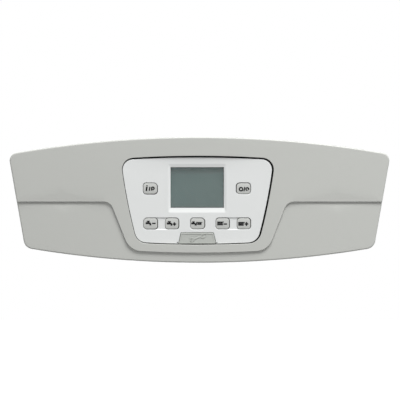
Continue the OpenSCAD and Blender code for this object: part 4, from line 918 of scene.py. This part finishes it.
class BOILER_OT_fascia(Operator):
    """Build the bowed front moulding with its step, its opening and its screw bosses"""
    bl_idname = "boiler.fascia"
    bl_label = "Front moulding"

    def execute(self, context):
        form = context.scene.boiler_form
        bm = bmesh.new()
        panel, opening, raised = panel_outline(0), opening_outline(0), raised_outline(0)
        inner_panel, inner_opening = panel_outline(SKIN), opening_outline(-COLLAR_T)

        def front(points):
            fall = rounding(distances(points, panel), form.edge_round)
            fall = fall + rounding(-distances(points, opening), form.lip_round)
            return bow_y(points[:, 0]) + step_fall(distances(points, raised), form) + fall

        def back(points):
            low_part = distances(points, raised) < SKIN
            return bow_y(points[:, 0]) + SKIN + np.where(low_part, STEP_DROP, 0)

        def between(outer, inner):
            return lambda middles: (distances(middles, outer) > 0) & (distances(middles, inner) < 0)

        crease, back_crease = 0.02 * MM, 0.05 * MM
        foot = [-STEP_SLOPE_W - form.step_fillet + d for d in round_insets(form.step_fillet, 3)]
        outlines = [panel_outline(d) for d in round_insets(form.edge_round)]
        outlines += [opening_outline(-d) for d in round_insets(form.lip_round)]
        outlines += [raised_outline(d) for d in round_insets(form.step_round, 4) + foot + [crease]]
        grid = grid_points(0, 0, 8 * MM, range(-26, 27), range(-9, 10))
        room = 2.5 * MM
        spots = chosen(grid, (distances(grid, panel) > room) & (distances(grid, opening) < -room)
                       & (np.abs(distances(grid, raised)) > room))
        outer = sheet(bm, outlines, spots, between(panel, opening), front)

        back_lines = [inner_panel, inner_opening, raised_outline(SKIN), raised_outline(SKIN + back_crease)]
        inner_spots = chosen(spots, distances(spots, inner_panel) > room)
        inner = sheet(bm, back_lines, inner_spots, between(inner_panel, inner_opening), back)
        bmesh.ops.reverse_faces(bm, faces=inner)

        def at_opening(middle):
            return abs(middle.x) < 100 * MM and abs(middle.z) < 52 * MM

        def at_rim(middle):
            return not at_opening(middle)

        rim = wall(bm, border(outer, at_rim), 0) + wall(bm, border(inner, at_rim), 0)
        collar = wall(bm, border(outer, at_opening), COLLAR_Y) + wall(bm, border(inner, at_opening), COLLAR_Y)
        fill(bm, rim)
        fill(bm, collar)

        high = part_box("box_screws")[1]
        for sx in (-1, 1):
            for sz in (-1, 1):
                x, z = sx * CASING_PLACE[0], sz * CASING_PLACE[1]
                boss(bm, x, z, CASING_BOSS, seat_y(x, z), 0)
                x, z = sx * (high.x - LARGE_HEAD_R), sz * (high.z - LARGE_HEAD_R)
                boss(bm, x, z, EAR_BOSS, seat_y(x, z), EAR_FRONT_Y)
            for z in KEYPAD_SCREW_Z:
                reach = side_x(z, OPENING_MID_W / 2, OPENING_LEAN, OPENING_SIDE_R) + KEYPAD_SCREW_REACH
                x = GROUP_X + sx * reach
                boss(bm, x, z, KEYPAD_BOSS, seat_y(x, z), FLANGE_Y)

        material = moulded("fascia_satin", tuple(context.scene.boiler_finish.fascia), 0.4)
        piece_from(bm, "front_moulding", material, "housing", ("fascia",))
        return {"FINISHED"}


class BOILER_OT_keypad(Operator):
    """Build the keypad panel with its pockets, button holes, display border and flap notch"""
    bl_idname = "boiler.keypad"
    bl_label = "Keypad panel"

    def execute(self, context):
        # Painted shade: the skirt and the plate's edge-on walls take this near-black colour, which darkens
        # the gap round the panel
        dark = matt("skirt_painted_shade", GAP_SHADE_BASE, 0.06)
        self.plate(context, dark)
        self.window()
        self.skirt(dark)
        return {"FINISHED"}

    def plate(self, context, dark):
        form = context.scene.boiler_form
        centres = {name: key_centre(name) for name, *_ in KEYS}
        pockets = [(*centres[name], KEY_W) for name in ("info", "reset", "mode")]
        for a, b in (("water_minus", "water_plus"), ("heat_minus", "heat_plus")):
            xa, xb = centres[a][0], centres[b][0]
            pockets.append(((xa + xb) / 2, centres["mode"][1], KEY_W + xb - xa))

        def pocket(spot, inset):
            x, z, w = spot
            grow = POCKET_W - inset
            return rounded_rect(x, z, w + 2 * grow, KEY_H + 2 * grow, KEY_R + grow)

        def holes(grow):
            """Outlines of the button holes, each set off to the side of its wider gap."""
            return [
                key_outline(centres[name][0] + sx * HOLE_SHIFT, centres[name][1] + sz * HOLE_SHIFT, bulge,
                            KEY_GAP + HOLE_EXTRA + grow)
                for name, bulge, (sx, sz) in KEYS
            ]

        flap_low, flap_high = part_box("service_flap")
        top_z, bottom_z = flap_high.z, flap_low.z
        notch = flap_outline(top_z, bottom_z, FLAP_GAP)
        slot_x = FLAP_BOTTOM_HALF + FLAP_GAP + PIN_SLOT_OUT
        pin_slots = [rounded_rect(GROUP_X + side * slot_x, bottom_z + PIN_SLOT_UP, *PIN_SLOT, 2)
                     for side in (-1, 1)]
        (x0, z0), (x1, z1) = view_box()
        view = [(x0, z0), (x0, z1), (x1, z1), (x1, z0)]
        edge = keypad_outline(0)
        pocket_lines = [pocket(spot, 0) for spot in pockets]
        cut_lines = holes(0) + [notch] + pin_slots

        def bezel(share):
            """Line at a share of the way up the sloped border, whose outer corners are rounded."""
            line = []
            for x, z, side, end in ((x0, z0, -BEZEL_SIDE, -BEZEL_BOTTOM), (x0, z1, -BEZEL_SIDE, BEZEL_TOP),
                                    (x1, z1, BEZEL_SIDE, BEZEL_TOP), (x1, z0, BEZEL_SIDE, -BEZEL_BOTTOM)):
                turns = [math.pi / 2 * i / 6 for i in range(7)]
                corner = [(x + side * share * math.cos(t) ** BEZEL_POWER,
                           z + end * share * math.sin(t) ** BEZEL_POWER) for t in turns]
                line += corner if side * end < 0 else corner[::-1]
            return line

        def bezel_fall(x, z):
            across = np.maximum(np.maximum(x0 - x, x - x1) / BEZEL_SIDE, 0)
            along = np.maximum(np.maximum((z - z1) / BEZEL_TOP, (z0 - z) / BEZEL_BOTTOM), 0)
            share = (across ** (2 / BEZEL_POWER) + along ** (2 / BEZEL_POWER)) ** (BEZEL_POWER / 2)
            soft = np.where(share > 1 + BEZEL_SOFT, 0, (1 + BEZEL_SOFT - share) ** 2 / (4 * BEZEL_SOFT))
            rise = np.where(share < 1 - BEZEL_SOFT, 1 - share, soft)
            down = 1 - np.clip((z - z0) / (z1 - z0), 0, 1)
            depth = BEZEL_TOP_DEPTH + (BEZEL_DEPTH - BEZEL_TOP_DEPTH) * down ** 2
            return depth * np.clip(rise, 0, 1)

        def curl(x, z, from_edge):
            near = np.clip(1 - from_edge / CURL_W, 0, 1)
            aside = (x - GROUP_X) / CURL_MIDDLE_HALF_W
            middle = 1 + CURL_MIDDLE_EXTRA * np.clip(1 - aside ** 2, 0, 1)
            return form.keypad_curl * near * near * middle * np.clip((z - CURL_FROM_Z) / CURL_RISE_H, 0, 1)

        def front(points):
            x, z = points[:, 0], points[:, 1]
            from_edge = distances(points, edge)
            fall = rounding(from_edge, form.keypad_round) + bezel_fall(x, z)
            for line in pocket_lines:
                fall = fall + POCKET_DEPTH * eased(distances(points, line) / POCKET_SLOPE_W)
            for line in cut_lines:
                fall = fall + rounding(-distances(points, line), HOLE_ROUND)
            return FACE_Y + fall - curl(x, z, from_edge)

        def keep(middles):
            return (distances(middles, edge) > 0) & (deepest(middles, cut_lines + [view]) < 0)

        outlines = [keypad_outline(d) for d in round_insets(form.keypad_round, 4)]
        outlines += [bezel(share) for share in BEZEL_SHARES] + [view]
        for spot in pockets:
            outlines += [pocket(spot, POCKET_SLOPE_W * i / POCKET_STEPS) for i in range(POCKET_STEPS + 1)]
        for d in round_insets(HOLE_ROUND, 2):
            outlines += holes(d) + [flap_outline(top_z, bottom_z, FLAP_GAP + d)]
        outlines += pin_slots
        bands = [p for i in range(1, CURL_STEPS + 1) for p in keypad_outline(CURL_W * i / CURL_STEPS)]
        spots = chosen(bands, deepest(bands, pocket_lines + [bezel(BEZEL_CLEAR_SHARE), notch]) < -MM)
        bm = bmesh.new()
        thicken(bm, sheet(bm, outlines, spots, keep, front), lambda place: PLATE_Y)
        board_low, board_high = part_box("display_screws")
        board_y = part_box("display_board")[0].y
        for sx in (-1, 1):
            x = GROUP_X + sx * (board_high.x - SMALL_HEAD_R - GROUP_X)
            for z in (board_high.z - SMALL_HEAD_R, board_low.z + SMALL_HEAD_R):
                boss(bm, x, z, BOARD_BOSS, PLATE_Y, board_y)
            hinge_x = GROUP_X + sx * (FLAP_BOTTOM_HALF + FLAP_GAP + HINGE_HALF_W)
            block(bm, (hinge_x - HINGE_HALF_W, PLATE_Y, bottom_z),
                  (hinge_x + HINGE_HALF_W, PLATE_Y + HINGE_T, bottom_z + HINGE_H))
        white = moulded("keypad_white", tuple(context.scene.boiler_finish.keypad), 0.32, cloud=0.01)
        # Faces that stand edge-on to the front take the near-black material: painted shade in the gaps and
        # holes
        piece_from(bm, "keypad_plate", white, "housing", ("keypad_panel",), sharp=50,
                   second=dark, picks=lambda face: abs(face.normal.y) < WALL_NORMAL)

    def window(self):
        low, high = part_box("display_window")
        bm = bmesh.new()
        block(bm, low, (high.x, high.y - WINDOW_PLAY, high.z))
        bevel(bm, bm.edges[:], 0.15 * MM, 2)
        piece_from(bm, "window_pane", clear("window_clear", (0.75, 0.8, 0.78), 0.04), "housing",
                   ("display_window",))

    def skirt(self, dark):
        """Skirt and flange, coloured near-black as painted shade in the gap round the keypad panel. Their
        front rings lie deeper behind the flap, which swings through there.
        """
        profile = [(0, PLATE_Y), (0, FLANGE_Y), (-FLANGE_W, FLANGE_Y), (-FLANGE_W, FLANGE_BACK_Y),
                   (SKIRT_T, FLANGE_BACK_Y), (SKIRT_T, PLATE_Y)]

        def ring(inset, y):
            return [(x, max(y, NOTCH_Y) if z < 0 and abs(x - GROUP_X) < NOTCH_HALF_W else y, z)
                    for x, z in keypad_outline(inset)]

        bm = bmesh.new()
        loft(bm, [ring(inset, y) for inset, y in profile], closed=True)
        piece_from(bm, "keypad_skirt", dark, "housing", sharp=50)


class BOILER_OT_keys(Operator):
    """Build the seven domed buttons with their retaining lips and stems"""
    bl_idname = "boiler.keys"
    bl_label = "Buttons"

    def execute(self, context):
        form = context.scene.boiler_form
        material = moulded("button_satin", tuple(context.scene.boiler_finish.keys), 0.36, cloud=0.01)
        # Painted shade: each button's faces deeper than KEY_FACE_DEPTH, its sides, lip and stem, take a
        # near-black colour that darkens the gap round it
        base = matt("button_sides_painted_shade", GAP_SHADE_BASE, 0.06)
        lip_y = PLATE_Y + KEY_LIP_GAP
        lip_back_y = lip_y + KEY_LIP_T
        for name, bulge, _ in KEYS:
            low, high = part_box("button_" + name)
            centre = key_centre(name)

            def ring(grow, fall, scale=1.0):
                points = [(centre[0] + (x - centre[0]) * scale, centre[1] + (z - centre[1]) * scale)
                          for x, z in key_outline(*centre, bulge, grow)]
                return [(x, key_face_y(x, z, centre, form.key_dome) + fall, z) for x, z in points]

            rings = [ring_at(key_outline(*centre, bulge, grow), y)
                     for grow, y in ((KEY_LIP, lip_back_y), (KEY_LIP, lip_y), (0, lip_y))]
            rings += [ring(-inset, float(rounding(inset, form.key_round)))
                      for inset in round_insets(form.key_round, 4)]
            rings += [ring(-form.key_round, 0, scale) for scale in DOME_SCALES]
            bm = bmesh.new()
            loops = loft(bm, rings)
            fill(bm, loops[0])
            fill(bm, loops[-1])
            lathe(bm, [(0, lip_back_y), (STEM_R, lip_back_y), (STEM_R, high.y), (0, high.y)], *centre)
            piece_from(bm, "key_" + name, material, name + "_key", ("button_" + name,),
                       second=base, picks=lambda face: face.center.y > low.y + KEY_FACE_DEPTH)
        return {"FINISHED"}


# Signs, in millimetres from a button's centre

def bar(x0, z0, x1, z1):
    return [(x0, z0), (x1, z0), (x1, z1), (x0, z1)]


def stroke(path, width):
    """Closed outline of a line of even width along a path."""
    left, right = [], []
    for i, point in enumerate(path):
        before = Vector(path[max(i - 1, 0)])
        after = Vector(path[min(i + 1, len(path) - 1)])
        along = (after - before).normalized()
        side = Vector((-along.y, along.x)) * width / 2
        left.append(tuple(Vector(point) + side))
        right.append(tuple(Vector(point) - side))
    return left + right[::-1]


def ring_stroke(x, z, radius, width, start, turn):
    steps = max(6, round(16 * abs(turn) / math.pi))
    return stroke(arc_points((x, z), radius, start, turn, steps), width)


def tap(x, z, size=1.0):
    """A tap: handle, neck, pipe and a spout that turns down."""
    shapes = [
        bar(-1.8, 1.4, 1.5, 2.7), bar(-1.0, 0.4, 0.8, 1.9), bar(-3.0, -1.1, 1.4, 1.1),
        stroke([(0.9, 0.1), (1.8, -0.15), (2.2, -0.9), (2.25, -2.5)], 2.0),
    ]
    return [moved(shape, x, z, size) for shape in shapes]


def radiator(x, z, size=1.0):
    """A radiator: five columns between two rails, and its valve at the upper right."""
    shapes = [bar(-3.0 + i * 1.24, -2.1, -1.92 + i * 1.24, 2.2) for i in range(5)]
    shapes += [bar(-3.1, 0.5, 3.1, 1.7), bar(-3.1, -1.7, 3.1, -0.5), bar(2.9, 1.2, 4.3, 2.2)]
    return [moved(shape, x, z, size) for shape in shapes]


def minus(x, z, size):
    return [bar(x - size / 2, z - 0.75, x + size / 2, z + 0.75)]


def plus(x, z, size):
    return minus(x, z, size) + [bar(x - 0.8, z - size / 2, x + 0.8, z + size / 2)]


def slash(x, z, height, width=1.35):
    return [stroke([(x - height * 0.1, z - height / 2), (x + height * 0.1, z + height / 2)], width)]


def gauge(x, z, radius):
    """A round gauge with its needle on a short foot."""
    return [
        ring_stroke(x, z, radius, 1.3, -math.pi / 2 + 0.05, 2 * math.pi - 0.1),
        stroke([(x - 0.2, z - 0.2), (x + radius * 0.7, z + radius * 0.7)], 0.7),
        bar(x - radius - 0.6, z - radius - 1.0, x - radius + 0.7, z + 0.4),
    ]


def mark(x, z, height):
    """A dot above a leaning bar, the common sign for information."""
    return [
        stroke([(x - 0.45, z - height / 2), (x + 0.1, z + height * 0.24)], 1.8),
        stroke([(x + 0.2, z + height * 0.32), (x + 0.35, z + height / 2)], 1.8),
    ]


def turn_arrow(x, z, radius):
    """Three quarters of a ring with an arrow head, the common sign for a restart."""
    head = [(x + radius - 1.3, z + 0.3), (x + radius + 1.3, z + 0.3), (x + radius, z - 1.6)]
    return [ring_stroke(x, z, radius, 1.4, math.radians(5), math.radians(275)), head]


SIGNS = {
    "info": mark(-3.5, 0.4, 6.3) + slash(-0.4, -0.3, 4.3) + gauge(3.2, 0.2, 1.5),
    "reset": [ring_stroke(-3.0, -0.7, 1.85, 1.5, 0.05, 2 * math.pi - 0.1)] + slash(0.7, -0.5, 4.6)
    + turn_arrow(3.9, -0.5, 1.5),
    "water_minus": tap(-2.6, 0.5) + minus(3.4, 0.2, 3.9),
    "water_plus": tap(-2.7, 0.1) + plus(2.8, -0.5, 3.9),
    "mode": tap(-4.0, 0.1, 0.88) + slash(-0.8, -0.1, 4.2, 1.1) + radiator(2.4, 0.1, 0.76),
    "heat_minus": radiator(-2.8, 0.1) + minus(2.9, -0.5, 3.9),
    "heat_plus": radiator(-3.0, -0.3) + plus(3.0, -0.4, 4.2),
}


class BOILER_OT_signs(Operator):
    """Print the signs on the buttons: taps, radiators, plus, minus and the upper pair"""
    bl_idname = "boiler.signs"
    bl_label = "Signs"

    def execute(self, context):
        form = context.scene.boiler_form
        ink = matt("sign_ink", tuple(context.scene.boiler_finish.signs), 0.01)
        for name, shapes in SIGNS.items():
            centre = key_centre(name)
            lines = [[(centre[0] + x * MM, centre[1] + z * MM) for x, z in shape] for shape in shapes]

            def keep(middles):
                return deepest(middles, lines) > 0

            def front(points):
                return key_face_y(points[:, 0], points[:, 1], centre, form.key_dome) - form.print_depth

            grid = grid_points(*centre, 0.5 * MM, range(-13, 14), range(-8, 9))
            bm = bmesh.new()
            faces = sheet(bm, lines, chosen(grid, keep(grid)), keep, front)
            thicken(bm, faces, lambda place: place.y + 3 * form.print_depth)
            piece_from(bm, "sign_" + name, ink, name + "_key", weigh=False)
        return {"FINISHED"}


class BOILER_OT_flap(Operator):
    """Build the service flap with its raised border, spanner sign and hinge pins"""
    bl_idname = "boiler.flap"
    bl_label = "Service flap"

    def execute(self, context):
        low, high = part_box("service_flap")
        top_z, bottom_z = high.z, low.z
        axis_z = bottom_z + FLAP_AXIS_UP
        front_y = low.y + RELIEF_H
        spanner = self.spanner(GROUP_X + SPANNER_SHIFT[0], (top_z + bottom_z) / 2 + SPANNER_SHIFT[1])

        def outline(inset):
            return flap_outline(top_z, bottom_z, -inset)

        edge, rim, rim_inner = outline(0), outline(FLAP_RIM_INSET), outline(FLAP_RIM_INSET + FLAP_RIM_W)

        def front(points):
            z = points[:, 1]
            on_rim = np.minimum(distances(points, rim), -distances(points, rim_inner))
            on_spanner = deepest(points, spanner)
            relief = np.maximum(np.minimum(on_rim, z - axis_z), on_spanner)
            sunk = GROOVE_DEPTH * np.clip(1 - np.abs(2 * on_spanner / GROOVE_W + 1), 0, 1)
            fall = np.maximum(rounding(distances(points, edge), FLAP_EDGE_R),
                              rounding(z - bottom_z, FLAP_LOWER_R))
            return front_y - RELIEF_H * eased(relief / RELIEF_EASE) + fall + sunk

        def keep(middles):
            return distances(middles, edge) > 0

        outlines = [outline(d) for d in round_insets(FLAP_EDGE_R, 3)]
        for i in range(RELIEF_STEPS + 1):
            d = RELIEF_EASE * i / RELIEF_STEPS
            outlines += [outline(FLAP_RIM_INSET + d), outline(FLAP_RIM_INSET + FLAP_RIM_W - d)]
        outlines += spanner
        reach = FLAP_BOTTOM_HALF + 1 * MM
        for d in round_insets(FLAP_LOWER_R, 4):
            outlines.append([(GROUP_X - reach, bottom_z + d), (GROUP_X + reach, bottom_z + d)])
        # Fine points on the spanner and close round it
        left_x, pitch, near = GROUP_X - 12 * MM, 0.2 * MM, 0.8 * MM
        grid = grid_points(left_x, axis_z, pitch, range(120), range(48))
        spots = chosen(grid, deepest(grid, spanner) > -near)
        bm = bmesh.new()
        thicken(bm, sheet(bm, outlines, spots, keep, front), lambda place: front_y + FLAP_T)

        made = bmesh.ops.create_cone(bm, cap_ends=True, segments=24, radius1=FLAP_PIN_R,
                                     radius2=FLAP_PIN_R, depth=high.x - low.x)["verts"]
        place = Matrix.Translation(((low.x + high.x) / 2, front_y + FLAP_AXIS_UP, axis_z))
        bmesh.ops.transform(bm, matrix=place @ Matrix.Rotation(math.pi / 2, 4, "Y"), verts=made)
        material = moulded("flap_satin", tuple(context.scene.boiler_finish.flap), 0.38)
        piece_from(bm, "flap_cover", material, "flap", ("service_flap",), sharp=50)
        return {"FINISHED"}

    def spanner(self, x, z):
        """Outlines of a spanner with two open heads, tilted up to the right."""
        shapes = [bar(-SPANNER_HALF_L, -SPANNER_SHAFT_HALF, SPANNER_HALF_L, SPANNER_SHAFT_HALF)]
        gap = math.asin(SPANNER_JAW_HALF / SPANNER_HEAD_R)
        head = arc_points((0, 0), SPANNER_HEAD_R, gap, 2 * math.pi - 2 * gap, 22)
        head += [(-SPANNER_JAW_FLOOR, -SPANNER_JAW_HALF), (-SPANNER_JAW_FLOOR, SPANNER_JAW_HALF)]
        for sign in (-1, 1):
            shapes.append([(sign * (SPANNER_HALF_L + px), pz) for px, pz in head])
        c, s = math.cos(SPANNER_TILT), math.sin(SPANNER_TILT)
        return [[(x + px * c - pz * s, z + px * s + pz * c) for px, pz in shape] for shape in shapes]


class BOILER_OT_housing(Operator):
    """Round the edges of the rear housing, its cover, the grommets and the cord clamp"""
    bl_idname = "boiler.housing"
    bl_label = "Rear housing"

    def execute(self, context):
        colour = tuple(context.scene.boiler_finish.housing)
        coarse = {"grain": 900, "grain_depth": 0.12, "cloud": 0.06}
        dark = moulded("housing_grain", colour, 0.5, **coarse)
        lid = moulded("cover_grain", tinted(colour, 1.15), 0.48, **coarse)
        bevelled_copy("control_box", 0.35 * MM, 2, dark, "rear_housing")
        bevelled_copy("terminal_cover", 0.5 * MM, 3, lid, "terminal_lid")
        bevelled_copy("cable_grommets", 0.4 * MM, 3, rubber("grommet_rubber"), "grommets")
        bevelled_copy("cord_clamp", 0.4 * MM, 3, moulded("clamp_white", (0.68, 0.68, 0.64), 0.4), "clamp_bar")
        return {"FINISHED"}


class BOILER_OT_finishes(Operator):
    """Give every part of the model that still shows its own material"""
    bl_idname = "boiler.finishes"
    bl_label = "Other finishes"

    def execute(self, context):
        crystal = tuple(context.scene.boiler_finish.crystal)
        makers = {
            "keypad_seal": (rubber, "seal_rubber"),
            "steel_screws": (metal, "zinc_steel", (0.6, 0.61, 0.63), 0.32),
            "display_cell": (liquid_crystal, "crystal_grey", crystal),
            "light_guide": (clear, "guide_acrylic", (0.85, 0.9, 0.9), 0.35, 0.2),
            "backlight_leds": (moulded, "lamp_white", (0.9, 0.88, 0.72), 0.3),
            "contact_strips": (striped, "contact_pink", (0.5, 0.12, 0.16), (0.65, 0.2, 0.24), 0.5 * MM, "X"),
            "display_frame": (moulded, "frame_white", (0.8, 0.8, 0.79), 0.4),
            "circuit_board": (solder_mask, "board_green"),
            "black_parts": (moulded, "package_black", (0.014, 0.014, 0.016), 0.45, 1500, 0.05),
            "plungers": (moulded, "plunger_red", (0.42, 0.025, 0.015), 0.4),
            "ribbon_cable": (striped, "ribbon_grey", (0.3, 0.31, 0.33), (0.42, 0.43, 0.45), 1.27 * MM, "X"),
            "transformer_core": (striped, "core_steel", (0.03, 0.03, 0.035), (0.1, 0.1, 0.11), 0.5 * MM, "Y",
                                 0.55, 0.6),
            "transformer_coil": (moulded, "coil_tape", (0.62, 0.36, 0.02), 0.35, 700, 0.08),
            "relays": (moulded, "relay_blue", (0.015, 0.045, 0.16), 0.35),
            "capacitors": (moulded, "capacitor_sleeve", (0.01, 0.014, 0.05), 0.22),
            "fuse_holders": (moulded, "fuse_cream", (0.66, 0.64, 0.52), 0.45),
            "fuses": (clear, "fuse_glass", (0.8, 0.86, 0.86), 0.4),
            "filter_choke": (striped, "choke_copper", (0.3, 0.09, 0.02), (0.62, 0.24, 0.07), 0.9 * MM, "X",
                             0.3, 0.9),
            "heat_sink": (metal, "sink_aluminium", (0.62, 0.63, 0.65), 0.4, (1, 0.05, 1)),
            "board_headers": (moulded, "header_white", (0.72, 0.72, 0.66)),
            "mains_terminals": (moulded, "terminal_grey", (0.6, 0.61, 0.56)),
            "sensor_terminals": (moulded, "terminal_green", (0.02, 0.2, 0.05)),
            "earth_brass": (metal, "earth_brass_drawn", (0.6, 0.42, 0.12), 0.28, (0.1, 1, 1)),
        }
        made = {}
        for node, part in frame["nodes"].items():
            if part.hide_render:
                continue
            slot = SLOT_OF[node]
            if slot not in made:
                maker, *values = makers[slot]
                made[slot] = maker(*values)
            for place in part.material_slots:
                place.material = made[slot]
        return {"FINISHED"}


class BOILER_PT_sidebar(Panel):
    """Settings and steps of the control panel"""
    bl_idname = "BOILER_PT_sidebar"
    bl_label = "Boiler Panel"
    bl_space_type = "VIEW_3D"
    bl_region_type = "UI"
    bl_category = "Boiler Panel"

    def draw(self, context):
        for settings in GROUPS:
            group = getattr(context.scene, settings)
            box = self.layout.box()
            for name in group.__annotations__:
                box.prop(group, name)
        for step in STEPS:
            self.layout.operator(step.bl_idname)


STEPS = (
    BOILER_OT_stage, BOILER_OT_fascia, BOILER_OT_keypad, BOILER_OT_keys, BOILER_OT_signs, BOILER_OT_flap,
    BOILER_OT_housing, BOILER_OT_finishes,
)
GROUPS = {"boiler_form": PanelForm, "boiler_finish": PanelFinish, "boiler_stage": PanelStage}


def register():
    for cls in (*GROUPS.values(), *STEPS, BOILER_PT_sidebar):
        bpy.utils.register_class(cls)
    for name, cls in GROUPS.items():
        setattr(bpy.types.Scene, name, PointerProperty(type=cls))


def unregister():
    for name in GROUPS:
        delattr(bpy.types.Scene, name)
    for cls in reversed((*GROUPS.values(), *STEPS, BOILER_PT_sidebar)):
        bpy.utils.unregister_class(cls)


def main():
    register()
    bpy.ops.boiler.stage()
    bpy.ops.boiler.fascia()
    bpy.ops.boiler.keypad()
    bpy.ops.boiler.keys()
    bpy.ops.boiler.signs()
    bpy.ops.boiler.flap()
    bpy.ops.boiler.housing()
    bpy.ops.boiler.finishes()


if __name__ == "__main__":
    main()
